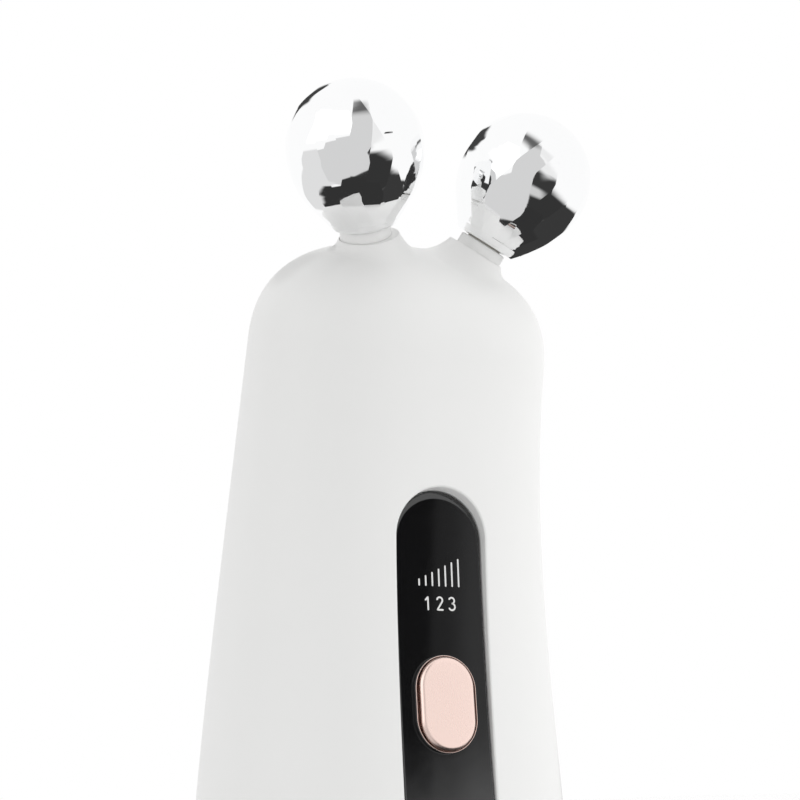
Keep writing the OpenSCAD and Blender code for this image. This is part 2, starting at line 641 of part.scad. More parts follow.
// the leads pass the sides of the frame's plate and end on the circuit board's face
module cell_positive_lead() color([0.7, 0.1, 0.1])
  wire([[0, cell_y, cell_top + 0.65], [2, cell_y, cell_top + 4.5], [lead_x, 0, cell_top + 4.5],
        from_panel([lead_x, board_top - 10.6, -plate_back - 1.3]),
        from_panel([lead_x, board_top - 12.6, -board_front + 0.8]),
        from_panel([lead_x - 2.5, board_top - 13.6, -board_front + 1.4]),
        from_panel([lead_x - 4.1, board_top - 14.1, lead_z])], lead_radius);
module cell_negative_lead() color([0.1, 0.1, 0.1])
  wire([[-cell_diameter / 2 - 0.62, cell_y, cell_base + 2], [-11.5, cell_y - 1, cell_base + 3],
        [-lead_x, -5, cell_base + 4.5], from_panel([-lead_x, board_end + 8.4, -plate_back - 1.3]),
        from_panel([-lead_x, board_end + 10.4, -board_front + 0.8]),
        from_panel([2.5 - lead_x, board_end + 11.4, -board_front + 1.4]),
        from_panel([4.1 - lead_x, board_end + 11.9, lead_z])], lead_radius);
module charge_lead() color([0.75, 0.72, 0.2])
  wire([[5.4, inlet_mouth - inlet_depth - 3, inlet_height - inlet_half_height + 0.62],
        [lead_hole.x, 6, 9], from_panel([lead_hole.x, lead_hole.y, -plate_back - 2.5]),
        from_panel([lead_hole.x, lead_hole.y, -board_back]), from_panel([lead_hole.x, board_end - 2.4, lead_z + 1]),
        from_panel([lead_hole.x, board_end + 1.4, lead_z])], lead_radius);

module inlet_shell() color([0.75, 0.76, 0.78]) difference() {
  inlet_slot(0, inlet_mouth - inlet_depth, inlet_mouth);
  inlet_slot(-0.3, inlet_mouth - inlet_depth + 0.4, inlet_mouth + 1);
}
module inlet_tongue() color([0.1, 0.1, 0.1])
  block([-3.3, 3.3], [inlet_mouth - inlet_depth + 0.4, inlet_mouth - 0.9],
        [inlet_height - 0.35, inlet_height + 0.35]);
module charge_board() color([0.1, 0.35, 0.2])
  block([-7, 7], [inlet_mouth - inlet_depth - 4, inlet_mouth - 3.4],
        [inlet_height - inlet_half_height - 1, inlet_height - inlet_half_height]);

housing();
base_cap();
foot_pad();
base_screws();
control_panel();
panel_adhesive();
button_bezel();
power_button();
button_dome();
button_switch();
roller(left);  // left_roller
roller(right);  // right_roller
bush(left);  // left_bush
bush(right);  // right_bush
post(left);  // left_post
post(right);  // right_post
collar(left);  // left_collar
collar(right);  // right_collar
post_seals();
slip_washers();
retaining_clips();
post_yoke();
yoke_screws();
contact(left);  // left_contact
contact(right);  // right_contact
inner_frame();
board_screws();
main_board();
controller_chip();
pulse_transformer();
storage_capacitor();
lamp_row();
rechargeable_cell();
cell_positive_lead();
cell_negative_lead();
charge_lead();
inlet_shell();
inlet_tongue();
charge_board();
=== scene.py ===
"""Facial toning device: the finished model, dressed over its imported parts.

A leaning white hand piece stands on its foot pad. Two faceted balls spin on splayed posts at its
head, and a recessed black panel in its front carries one plated push button. Every operator here
makes one piece or one group of like pieces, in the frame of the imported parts: +Z up the handle,
the panel faces -Y, +X is the right-hand ball. Lengths in the mesh code are millimetres.
"""

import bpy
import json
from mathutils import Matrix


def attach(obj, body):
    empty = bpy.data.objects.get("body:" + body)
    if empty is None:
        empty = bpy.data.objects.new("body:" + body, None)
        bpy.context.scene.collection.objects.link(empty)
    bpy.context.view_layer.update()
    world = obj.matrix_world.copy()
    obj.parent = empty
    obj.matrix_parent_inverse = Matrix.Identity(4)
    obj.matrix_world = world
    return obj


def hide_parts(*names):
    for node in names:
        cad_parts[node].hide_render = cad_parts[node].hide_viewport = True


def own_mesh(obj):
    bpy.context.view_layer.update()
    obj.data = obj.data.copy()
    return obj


bl_info = {
    "name": "Facial toning device",
    "version": (1, 0, 0),
    "blender": (4, 5, 0),
    "location": "View3D > Sidebar > Toning device",
    "description": "Builds the hand piece, its faceted balls, panel, button and studio stage",
    "category": "Object",
}

import json
import math

import bmesh
import bpy
import numpy as np
from bpy.props import FloatProperty, FloatVectorProperty, IntProperty, PointerProperty
from mathutils import Matrix, Vector

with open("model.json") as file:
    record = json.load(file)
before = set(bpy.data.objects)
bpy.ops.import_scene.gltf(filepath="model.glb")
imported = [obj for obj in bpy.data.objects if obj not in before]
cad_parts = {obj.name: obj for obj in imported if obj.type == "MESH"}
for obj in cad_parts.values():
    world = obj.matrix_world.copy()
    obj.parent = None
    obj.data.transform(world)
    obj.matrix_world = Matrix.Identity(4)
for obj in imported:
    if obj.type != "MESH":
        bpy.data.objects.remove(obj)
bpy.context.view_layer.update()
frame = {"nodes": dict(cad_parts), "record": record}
SLOT_COLOURS = {m["slot"]: tuple(m["base_color"][:3]) for m in frame["record"]["materials"]}

MM = 0.001
LEFT, RIGHT = -1, 1
SIDES = {"left": LEFT, "right": RIGHT}

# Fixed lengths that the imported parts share, in millimetres
SKIRT_GAP = 0.25        # between a ball's skirt and its collar
HEAD_DEPTH = 22.9       # solid part of the head, from the crown down to the hollow
SLAB = 1.8              # the wall behind the recess
SWITCH_TOP = 1.4        # the switch's face above the circuit board
DOME_TOP = 2.4          # the silicone dome's top above the circuit board
INLET_HALF_SIZE = (4.47, 1.63)
INLET_HEIGHT, INLET_INSET, INLET_ROOM = 10.0, 0.9, 0.35


# ---------------------------------------------------------------------------
# Sizes and colours that a user would change
# ---------------------------------------------------------------------------
def length(name, description, millimetres):
    """A length property, given in millimetres and kept in metres."""
    return FloatProperty(name=name, description=description, default=millimetres * MM,
                         unit="LENGTH", precision=5)


def degrees(name, description, value):
    """An angle property, given in degrees."""
    return FloatProperty(name=name, description=description, default=math.radians(value),
                         subtype="ANGLE")


def number(name, description, value):
    """A plain number."""
    return FloatProperty(name=name, description=description, default=value, precision=3)


def colour(name, description, value):
    """A colour property."""
    return FloatVectorProperty(name=name, description=description, default=value, size=3,
                               min=0, max=1, subtype="COLOR")


class BodySizes(bpy.types.PropertyGroup):
    """Sizes of the hand piece"""

    height: length("Height", "Height of the crown up the curved middle line", 127.9)
    base_half_width: length("Base half width", "Half the width at the base", 27.4)
    waist_draw: length("Waist draw", "How far each side is drawn in", 4.6)
    waist_power: number("Waist power", "How high up the sides are drawn in", 2.5)
    base_half_depth: length("Base half depth", "Half the depth at the base", 26.7)
    depth_taper: length("Depth taper", "Half depth lost by the shoulders", 10.55)
    crown_height: length("Crown height", "Height over which the shoulders close", 15.7)
    section_power: number("Section power", "2 is an ellipse, more is squarer", 2.53)
    crown_power: number("Crown power", "Roundness of the crown", 2.45)
    forward_lean: length("Forward lean", "How far the crown leans forward", 14.75)
    lean_power: number("Lean power", "How late the lean starts", 3.54)
    wall: length("Wall", "Thickness of the moulded wall", 2.2)
    foot_rise: length("Foot rise", "Gap under the body's lower edge", 0.8)
    base_round: length("Base rounding", "Rounding of the lower edge", 1.6)
    half_points: IntProperty(name="Half points", description="Points round half a section",
                             default=96, min=24, max=160)


class RollerSizes(bpy.types.PropertyGroup):
    """Sizes of the balls, collars and turrets"""

    ball_radius: length("Ball radius", "Radius of each ball", 9.945)
    lower_radius: length("Lower radius", "Radius of the ball's outline down to its skirt", 13.0)
    ball_spread: length("Ball spread", "Half the distance between the ball centres", 14.1)
    ball_reach: length("Ball reach", "Ball centres in front of the crown's end", 10.45)
    ball_rise: length("Ball rise", "Ball centres above the crown's end", 9.3)
    splay: degrees("Splay", "Sideways splay of each post", 20.9)
    tilt: degrees("Tilt", "Forward tilt of each post", 33.05)
    skirt_length: length("Skirt length", "Ball centre down to the skirt's end", 11.28)
    skirt_radius: length("Skirt radius", "Radius of the skirt's end", 4.85)
    bore_radius: length("Bore radius", "Radius of the bush's seat in the ball", 3.2)
    facet_count: IntProperty(name="Facets", description="Facets round each row", default=18)
    facet_pitch: length("Facet pitch", "Height of a row of facets up the outline", 5.75)
    facet_point: length("Facet point", "Height of a facet's pointed end", 4.9)
    facet_start: length("Facet start", "Middle row's lower shoulders above the equator", 0.2)
    edge_round: length("Edge rounding", "Rounding of the facets' edges", 0.05)
    left_turn: degrees("Left ball's turn", "How the left ball is turned on its post", 0.9)
    right_turn: degrees("Right ball's turn", "How the right ball is turned on its post", 5.6)
    collar_radius: length("Collar radius", "Radius of the collar under each ball", 3.75)
    collar_height: length("Collar height", "Height of the collar above its turret", 1.65)
    turret_radius: length("Turret radius", "Radius of the turret's rim", 4.45)
    turret_offset: length("Turret offset", "How far the rim is set inward", 0.55)
    turret_flare: degrees("Turret flare", "Flare of the turret's side", 18.5)
    turret_blend: length("Turret blend", "Softness of the turret's foot", 3.0)
    rim_edge: length("Rim edge", "Rounding of the turret's rim", 0.14)


class PanelSizes(bpy.types.PropertyGroup):
    """Sizes of the panel and its button"""

    half_width: length("Half width", "Half the width of the recess", 7.0)
    length: length("Length", "Length of the recess", 59.2)
    height: length("Height", "Height of the recess's middle", 59.7)
    lean: degrees("Lean", "Lean of the panel back from upright", 3.6)
    forward: length("Forward", "The panel's face in front of the middle", 21.445)
    bend: length("Bend", "Radius of the panel's bend", 420.0)
    thickness: length("Thickness", "Thickness of the panel", 1.0)
    adhesive: length("Adhesive", "Thickness of the sheet behind the panel", 0.2)
    gap: length("Gap", "Gap round the panel", 0.22)
    lip: length("Lip", "Rounding of the recess's edge", 0.3)
    ring_half_width: length("Ring half width", "Half the width of the button's ring", 4.62)
    ring_length: length("Ring length", "Height of the button's ring", 13.1)
    ring_wall: length("Ring wall", "Thickness of the ring", 0.09)
    ring_rise: length("Ring rise", "How far the ring stands out", 0.68)
    ring_seat: length("Ring seat", "Width of the panel's raised seat round the ring", 0.1)
    button_half_width: length("Button half width", "Half the width of the button", 4.15)
    button_length: length("Button length", "Height of the button", 12.7)
    button_rise: length("Button rise", "How far the button stands out", 1.4)
    button_edge: length("Button edge", "Rounding of the button's face", 0.62)
    button_drop: length("Button drop", "How far the ring sits below the panel's middle", 0.2)
    button_travel: length("Button travel", "How far the button goes in", 0.6)
    board_depth: length("Board depth", "Panel's face back to the circuit board", 6.8)
    mark_rise: length("Print rise", "Thickness of the printed marks", 0.02)


class FinishColours(bpy.types.PropertyGroup):
    """Colours of the main finishes"""

    shell: colour("Shell", "Moulded hand piece", SLOT_COLOURS["white_shell"])
    panel: colour("Panel", "Gloss front panel", (0.005, 0.005, 0.0055))
    plating: colour("Plating", "Button and ring", (0.98, 0.765, 0.695))
    balls: colour("Balls", "Mirror-plated balls", (0.965, 0.968, 0.972))
    print: colour("Print", "Marks on the panel", (0.86, 0.86, 0.85))


class StageSettings(bpy.types.PropertyGroup):
    """Camera, floor and lamps"""

    lens: number("Lens", "Camera lens on a 36 mm sensor", 67.08)
    floor_size: length("Floor size", "Width of the floor", 6000.0)
    fill: number("Fill", "Strength of the light from all round", 0.748)
    key: number("Key", "Power of the large lamp on the right, in watts", 1.3)
    side: number("Side", "Power of the lamp on the left, in watts", 0.15)
    top: number("Top", "Power of the lamp over the head, in watts", 0.4)


class ToningDeviceSettings(bpy.types.PropertyGroup):
    """All of the device's settings"""

    body: PointerProperty(name="Body", description="The hand piece", type=BodySizes)
    roller: PointerProperty(name="Rollers", description="Balls and turrets", type=RollerSizes)
    panel: PointerProperty(name="Panel", description="Panel and button", type=PanelSizes)
    colours: PointerProperty(name="Colours", description="Main finishes", type=FinishColours)
    stage: PointerProperty(name="Stage", description="Camera and lamps", type=StageSettings)


def settings(context):
    """The device's settings in the scene."""
    return context.scene.toning_device


def property_names(group):
    """The names of a group's own properties."""
    return [name for name in group.bl_rna.properties.keys() if name not in ("rna_type", "name")]


class Millimetres:
    """A property group's values, with its lengths in millimetres and its angles in radians."""

    def __init__(self, group):
        for name in property_names(group):
            value = getattr(group, name)
            in_metres = group.bl_rna.properties[name].unit == "LENGTH"
            setattr(self, name, value / MM if in_metres else value)


def sizes(context, *groups):
    """The named groups of sizes, in millimetres."""
    return [Millimetres(getattr(settings(context), name)) for name in groups]


# ---------------------------------------------------------------------------
# Frames and mesh helpers
# ---------------------------------------------------------------------------
def post_axis(r, side):
    """The way out along a post."""
    return np.array([side * math.sin(r.splay), -math.cos(r.splay) * math.sin(r.tilt),
                     math.cos(r.splay) * math.cos(r.tilt)])


def inward(r, side):
    """The way from a post towards the device's middle, square to the post."""
    return np.array([-side * math.cos(r.splay), -math.sin(r.splay) * math.sin(r.tilt),
                     math.sin(r.splay) * math.cos(r.tilt)])


def ball_centre(b, r, side):
    return np.array([side * r.ball_spread, -(b.forward_lean + r.ball_reach),
                     b.height + r.ball_rise])


def turret_top(r):
    """Distance from a ball's centre down its post to the turret."""
    return r.skirt_length + SKIRT_GAP + r.collar_height


def post_place(b, r, side):
    """Matrix from a post's own frame, +Z out along the post, to the device's frame."""
    return (Matrix.Translation(ball_centre(b, r, side)) @ Matrix.Rotation(r.tilt, 4, "X")
            @ Matrix.Rotation(side * r.splay, 4, "Y"))


def panel_place(p):
    """Matrix from the panel's frame: x across, y up it from the button, z out of its face."""
    return (Matrix.Translation((0, -p.forward, p.height))
            @ Matrix.Rotation(math.pi / 2 - p.lean, 4, "X"))


def bent(points, p):
    """Points in the panel's frame, moved forward along the face's bend."""
    points = np.array(points, float)
    points[:, 2] += points[:, 1] ** 2 / (2 * p.bend)
    return points


def placed(points, matrix):
    """Points in millimetres, moved by a matrix."""
    m = np.array(matrix)
    return np.asarray(points, float) @ m[:3, :3].T + m[:3, 3]


def signed_power(v, power):
    """A power of each number's size, with the number's sign."""
    return np.sign(v) * np.abs(v) ** power


def pill(half_width, full_length, count):
    """Points round a slot with round ends, evenly spaced, counterclockwise from its right side."""
    straight, arch = full_length - 2 * half_width, math.pi * half_width
    total = 2 * straight + 2 * arch
    points = []
    for s in np.arange(count) * total / count:
        s = (s + straight / 2) % total
        if s < straight:
            points.append((half_width, s - straight / 2))
        elif s < straight + arch:
            t = (s - straight) / half_width
            points.append((half_width * math.cos(t), straight / 2 + half_width * math.sin(t)))
        elif s < 2 * straight + arch:
            points.append((-half_width, straight / 2 - (s - straight - arch)))
        else:
            t = math.pi + (s - 2 * straight - arch) / half_width
            points.append((half_width * math.cos(t), -straight / 2 + half_width * math.sin(t)))
    return np.array(points)


def pill_ring(half_width, full_length, z, count=160, drop=0.0):
    """A slot's points at one height, lowered along y by the drop."""
    return np.c_[pill(half_width, full_length, count) - [0, drop], np.full(count, float(z))]


def revolved(profile, count=96):
    """Rings round the z axis from (radius, height) pairs."""
    turn = np.arange(count) * 2 * math.pi / count
    return [np.stack([r * np.cos(turn), r * np.sin(turn), np.full(count, float(z))], 1)
            for r, z in profile]


def rounded_edge(outer, top, edge, angles):
    """(distance out, height) pairs that round a top edge, from its side in to its face."""
    return [(outer - edge * (1 - math.cos(math.radians(a))),
             top - edge * (1 - math.sin(math.radians(a)))) for a in angles]


class Skin:
    """Collects rings of points and the faces between them."""

    def __init__(self):
        self.points, self.faces = [], []

    def ring(self, points):
        """Adds points and gives their numbers."""
        start = len(self.points)
        self.points.extend(tuple(p) for p in points)
        return list(range(start, start + len(points)))

    def bridge(self, a, b):
        """Adds the faces between two closed rings."""
        for i in range(len(a)):
            j = (i + 1) % len(a)
            self.faces.append((a[i], a[j], b[j], b[i]))

    def loft(self, rings, ends=(0, -1)):
        """Rings of equal length, bridged one to the next, with a face over each of the ends."""
        kept = [self.ring(points) for points in rings]
        for a, b in zip(kept, kept[1:]):
            self.bridge(a, b)
        self.faces.extend(tuple(kept[end]) for end in ends)

    def loop(self, rings):
        """Rings of equal length, bridged one to the next and the last to the first."""
        kept = [self.ring(points) for points in rings]
        for a, b in zip(kept, kept[1:] + kept[:1]):
            self.bridge(a, b)


def tidy_mesh(mesh, sharp=32.0, weld=0.0):
    """Welds, orients the faces outward and shades smooth up to an angle in degrees."""
    bm = bmesh.new()
    bm.from_mesh(mesh)
    if weld:
        bmesh.ops.remove_doubles(bm, verts=bm.verts, dist=weld)
    bmesh.ops.recalc_face_normals(bm, faces=bm.faces)
    bm.to_mesh(mesh)
    bm.free()
    mesh.polygons.foreach_set("use_smooth", [True] * len(mesh.polygons))
    mesh.set_sharp_from_angle(angle=math.radians(sharp))


def linked(name, data):
    """A new object in the scene."""
    obj = bpy.data.objects.new(name, data)
    bpy.context.scene.collection.objects.link(obj)
    return obj


def piece(name, skin, matrix=None, sharp=32.0, weld=2e-6):
    """A shaded object made from a skin in millimetres."""
    points = placed(skin.points, matrix) if matrix is not None else np.array(skin.points)
    mesh = bpy.data.meshes.new(name)
    mesh.from_pydata((points * MM).tolist(), [], skin.faces)
    obj = linked(name, mesh)
    tidy_mesh(mesh, sharp, weld)
    return obj


def lofted(name, rings, matrix, **shading):
    """A piece of rings bridged one to the next, with a face over each end."""
    skin = Skin()
    skin.loft(rings)
    return piece(name, skin, matrix, **shading)


def looped(name, rings, matrix, **shading):
    """A piece of rings bridged one to the next and the last to the first."""
    skin = Skin()
    skin.loop(rings)
    return piece(name, skin, matrix, **shading)


def applied(obj):
    """Applies the object's modifiers to its mesh."""
    depsgraph = bpy.context.evaluated_depsgraph_get()
    mesh = bpy.data.meshes.new_from_object(obj.evaluated_get(depsgraph))
    obj.modifiers.clear()
    old, obj.data = obj.data, mesh
    mesh.name = old.name
    bpy.data.meshes.remove(old)


def carve(obj, cutters):
    """Cuts each cutter out of the object, then deletes it."""
    for cutter in cutters:
        cut = obj.modifiers.new("Cut", "BOOLEAN")
        cut.operation, cut.solver, cut.object = "DIFFERENCE", "MANIFOLD", cutter
        before = len(obj.data.vertices)
        applied(obj)
        if len(obj.data.vertices) == before:
            raise RuntimeError(f"{cutter.name} didn't cut {obj.name}")
        bpy.data.objects.remove(cutter)


def finished(obj, body, slot, *nodes, look=None):
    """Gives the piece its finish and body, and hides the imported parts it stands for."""
    obj.data.materials.clear()
    obj.data.materials.append(finish(look or slot))
    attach(obj, body)
    if nodes:
        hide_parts(*nodes)


# ---------------------------------------------------------------------------
# The hand piece's form
# ---------------------------------------------------------------------------
class BodyForm:
    """The body's curved middle line, its sections, and the turrets that rise out of its crown."""

    def __init__(self, b, r, p):
        self.b, self.r, self.p = b, r, p
        self.shoulder = b.height - b.crown_height
        # both posts' lines cross here, inside the head
        axis = post_axis(r, RIGHT)
        self.crossing = ball_centre(b, r, RIGHT) - r.ball_spread / math.sin(r.splay) * axis
        self.rims = {side: ball_centre(b, r, side) - turret_top(r) * post_axis(r, side)
                     + r.turret_offset * inward(r, side) for side in (LEFT, RIGHT)}

    def lean(self, z):
        """Where the middle line runs, z up it: forward is negative."""
        b = self.b
        return -b.forward_lean * (np.maximum(z, 0) / b.height) ** b.lean_power

    def lean_angle(self, z):
        """How far the section at z is turned with the middle line."""
        b = self.b
        return np.arctan(b.forward_lean * b.lean_power / b.height
                         * (np.maximum(z, 0) / b.height) ** (b.lean_power - 1))

    def half_width(self, z):
        """Half the plain width at z, drawn in towards the shoulder."""
        b = self.b
        share = np.minimum(z, self.shoulder) / self.shoulder
        return b.base_half_width - b.waist_draw * np.sin(math.pi / 2 * share) ** b.waist_power

    def half_depth(self, z):
        """Half the plain depth at z."""
        taper_power = 1.15
        return self.b.base_half_depth - self.b.depth_taper * (z / self.shoulder) ** taper_power

    def crown(self, z):
        """Share of the plain section that is left above the shoulder."""
        share = np.clip((z - self.shoulder) / self.b.crown_height, 0, 1)
        return (1 - share ** self.b.crown_power) ** (1 / self.b.crown_power)

    def hem(self, z):
        """How far the rounded lower edge is drawn in."""
        b = self.b
        below = np.clip(b.foot_rise + b.base_round - z, 0, b.base_round)
        return b.base_round - np.sqrt(b.base_round ** 2 - below ** 2)

    def place(self, x, v, z):
        """Points of the tilted section at height z up the middle line."""
        turn = self.lean_angle(z)
        return np.stack([x, self.lean(z) + v * np.cos(turn), z + v * np.sin(turn)], -1)

    def half_ring(self, z, inset=0.0):
        """The right half of a section, from the front round to the back."""
        b = self.b
        turn = np.radians(np.linspace(-90, 90, b.half_points + 1))
        shrink = self.crown(z)
        across = (self.half_width(z) - self.hem(z)) * shrink - inset
        deep = (self.half_depth(z) - self.hem(z)) * shrink - inset
        x = across * np.abs(np.cos(turn)) ** (2 / b.section_power)
        x[[0, -1]] = 0
        v = deep * signed_power(np.sin(turn), 2 / b.section_power)
        return self.place(x, v, np.full_like(turn, float(z)))

    def full_ring(self, z, inset=0.0):
        """A whole section, counterclockwise from the front."""
        half = self.half_ring(z, inset)
        return np.concatenate([half, half[-2:0:-1] * [-1, 1, 1]])

    def outside(self, points):
        """Above zero outside the plain body, without its turrets."""
        b, z, far_above = self.b, points[..., 2].copy(), 30
        for _ in range(8):
            z = points[..., 2] - (points[..., 1] - self.lean(z)) * np.tan(self.lean_angle(z))
            z = np.clip(z, 0, b.height + far_above)
        v = (points[..., 1] - self.lean(z)) / np.cos(self.lean_angle(z))
        low = np.minimum(z, b.height)
        power = b.section_power
        over = ((np.abs(points[..., 0]) / self.half_width(low)) ** power
                + (np.abs(v) / self.half_depth(low)) ** power - self.crown(low) ** power)
        return np.where(z >= b.height, 1.0, over)

    def outside_turret(self, points, side):
        """Above zero outside the flared turret's side, or above its rim."""
        r, axis = self.r, post_axis(self.r, side)
        from_rim = points - self.rims[side]
        up = from_rim @ axis
        out = np.linalg.norm(from_rim - up[..., None] * axis, axis=-1)
        flare = (up + r.rim_edge) * math.tan(r.turret_flare)
        return np.where(up > 0, 1.0, out - r.turret_radius + flare)

    def reach(self, rays, outside, near=2.0, far=45.0):
        """Distance along each ray from the crossing to where a form ends."""
        return halved(np.full(rays.shape[:-1], near), np.full(rays.shape[:-1], far), 24,
                      lambda distance: outside(self.crossing + rays * distance[..., None]) > 0)

    def surface(self, rays):
        """The crown with both turrets softly blended in, along rays from the crossing."""
        distance, least_facing = self.reach(rays, self.outside), 0.12
        for side in (RIGHT, LEFT):
            to_rim = self.rims[side] - self.crossing
            facing = rays @ (to_rim / np.linalg.norm(to_rim))
            hill = self.reach(rays, lambda q, s=side: self.outside_turret(q, s))
            hill = np.where(facing > least_facing, hill, 0)
            distance = soft_max(distance, hill, self.r.turret_blend)
        return self.crossing + rays * distance[..., None]


def halved(low, high, rounds, beyond):
    """Where a form ends between two distances, found by halving the stretch between them."""
    for _ in range(rounds):
        middle = (low + high) / 2
        out = beyond(middle)
        low, high = np.where(out, low, middle), np.where(out, middle, high)
    return (low + high) / 2


def soft_max(a, b, soft):
    """The larger of two distances, blended where they lie close together."""
    near = np.maximum(soft - np.abs(a - b), 0) / soft
    return np.maximum(a, b) + near * near * soft / 4


def unit(v):
    """Each vector at length one."""
    return v / np.linalg.norm(v, axis=-1, keepdims=True)


def shell_skin(form):
    """The body's outside, its hollow and the edge between them, as one closed skin."""
    b, p = form.b, form.p
    hem_rows = [b.foot_rise + b.base_round * (1 - math.cos(math.radians(a)))
                for a in range(0, 90, 15)]
    wall_rows = list(np.linspace(b.foot_rise + b.base_round, form.shoulder, 61))
    outer = [form.full_ring(z) for z in hem_rows + wall_rows]

    # the hollow keeps clear of the recess and its slab
    slab_back = p.thickness + p.adhesive + SLAB
    lower_lip, clear_ends = 0.6, 3
    hollow = []
    for z in np.linspace(b.foot_rise + lower_lip, b.height - HEAD_DEPTH, 22):
        ring = form.full_ring(z, b.wall)
        v = ring[:, 2] - p.height
        face = -p.forward + v * math.tan(p.lean) - v * v / (2 * p.bend) + slab_back
        ring[:, 1] = np.where(np.abs(v) > p.length / 2 + clear_ends, ring[:, 1],
                              np.maximum(ring[:, 1], face))
        hollow.append(ring)
    edge = hollow[0].copy()
    edge[:, 2] = b.foot_rise
    skin = Skin()
    skin.loft(hollow[::-1] + [edge] + outer, ends=(0,))

    for side in (LEFT, RIGHT):
        crown_half(form, skin, side)
    return skin


def crown_half(form, skin, side):
    """Half of the crown, as spokes that run out from the turret's rim to the middle plane and
    to the shoulder's section."""
    r, spokes, crowding = form.r, 44, 1.7
    edge = form.half_ring(form.shoulder)
    axis, rim = post_axis(r, RIGHT), form.rims[RIGHT]
    across = unit(np.cross([0, 1, 0], axis))
    along = np.cross(axis, across)

    def angle_about_rim(points):
        v = points - rim
        return np.arctan2(v @ along, v @ across)

    def middle_line(swing):
        return form.surface(np.stack([0 * swing, np.cos(swing), np.sin(swing)], -1))

    # the middle plane's line over the crown, spaced evenly as the rim sees it
    ends = unit(edge[[-1, 0]] - form.crossing)
    start, stop = (math.atan2(v[2], v[1]) for v in ends)
    swing = np.linspace(start, stop, 900)
    line = middle_line(swing)
    turns = np.unwrap(angle_about_rim(line))
    fewest, spoke_angle = 12, math.radians(2.2)
    steps = max(fewest, int(abs(turns[-1] - turns[0]) / spoke_angle))
    travel = np.concatenate([[0], np.cumsum(np.linalg.norm(np.diff(line, axis=0), axis=1))])
    measure = np.abs(turns - turns[0]) / abs(turns[-1] - turns[0]) + travel / travel[-1]
    picked = np.interp(np.linspace(0, 2, steps + 1)[1:-1], measure, swing)
    border = np.concatenate([edge, middle_line(picked)])
    angle = angle_about_rim(border)

    def rim_ring(radius, down, centre=rim):
        return (centre - down * axis + radius * (np.cos(angle)[:, None] * across
                                                 + np.sin(angle)[:, None] * along))

    first = unit(rim_ring(r.turret_radius, r.rim_edge) - form.crossing)
    last = unit(border - form.crossing)
    between = np.arccos(np.clip((first * last).sum(1), -1, 1))[:, None]
    rings = []
    for k in range(1, spokes):
        share = (k / spokes) ** crowding
        rays = (np.sin((1 - share) * between) * first
                + np.sin(share * between) * last) / np.sin(between)
        rings.append(form.surface(unit(rays)))
    lip = [rim_ring(radius, -height)
           for radius, height in rounded_edge(r.turret_radius, 0, r.rim_edge, range(0, 91, 18))]
    post_line = rim - r.turret_offset * inward(r, RIGHT)
    top = [rim_ring(radius, 0, post_line) for radius in (3.4, 2.4, 1.2)]    # flat round the post
    skin.loft([ring * [side, 1, 1] for ring in [border] + rings[::-1] + lip + top], ends=(-1,))


def recess_cutter(form):
    """The recess in the front: straight sides, a bent floor and an edge rounded to the surface."""
    p, count = form.p, 260
    place = panel_place(p)
    outline = pill(p.half_width, p.length, count)
    out = unit(np.roll(outline, -1, 0) - np.roll(outline, 1, 0)) @ np.array([[0, -1], [1, 0]])

    def surface_height(flat):
        return halved(np.full(count, -2.0), np.full(count, 9.0), 30,
                      lambda z: form.outside(placed(np.c_[flat, z], place)) > 0)

    straight, floor = p.length - 2 * p.half_width, -(p.thickness + p.adhesive)
    rings = []
    for share in (0.25, 0.5, 0.75, 1.0):
        half = p.half_width * share
        rings.append(bent(pill_ring(half, straight + 2 * half, floor, count), p))
    for t in np.radians(range(0, 81, 16)):
        flat = outline + out * p.lip * (1 - math.cos(t))
        rings.append(np.c_[flat, surface_height(flat) - p.lip * (1 - math.sin(t))])
    # past the rounded edge the cutter rises clear of the surface
    beyond_lip, clear_heights = 0.8, (0.6, 4)
    flat = outline + out * (p.lip + beyond_lip)
    for above in clear_heights:
        rings.append(np.c_[flat, surface_height(flat) + above])
    return lofted("recess_cutter", rings, place)


def pill_cutter(name, sections, matrix):
    """A slot with round ends, from (half width, length, height) sections."""
    return lofted(name, [pill_ring(*section) for section in sections], matrix)


def inlet_cutter(b):
    """The slot in the back for the charging inlet's shell, with a lead-in at its mouth."""
    half_width, half_height = (half + INLET_ROOM for half in INLET_HALF_SIZE)
    place = (Matrix.Translation((0, b.base_half_depth - INLET_INSET, INLET_HEIGHT))
             @ Matrix.Rotation(-math.pi / 2, 4, "X") @ Matrix.Rotation(math.pi / 2, 4, "Z"))
    lead_in = ((0, -13.3), (0, 0.62), (0.06, 0.72), (0.25, 0.93), (1.4, 2.2), (1.4, 6))
    return pill_cutter("inlet_cutter", [(half_height + grow, 2 * (half_width + grow), z)
                                        for grow, z in lead_in], place)


def yoke_cutter(form):
    """The room in the head for the yoke that holds both posts."""
    z = form.b.height - HEAD_DEPTH
    place = (Matrix.Translation((0, float(form.lean(z)), z))
             @ Matrix.Rotation(float(form.lean_angle(z)), 4, "X"))
    half_width, front, back, bottom, top = 10.6, -4.6, 5.4, -4, 11
    corners = ((-half_width, front), (half_width, front), (half_width, back), (-half_width, back))
    return lofted("yoke_cutter", [[(x, y, z) for x, y in corners] for z in (bottom, top)], place)


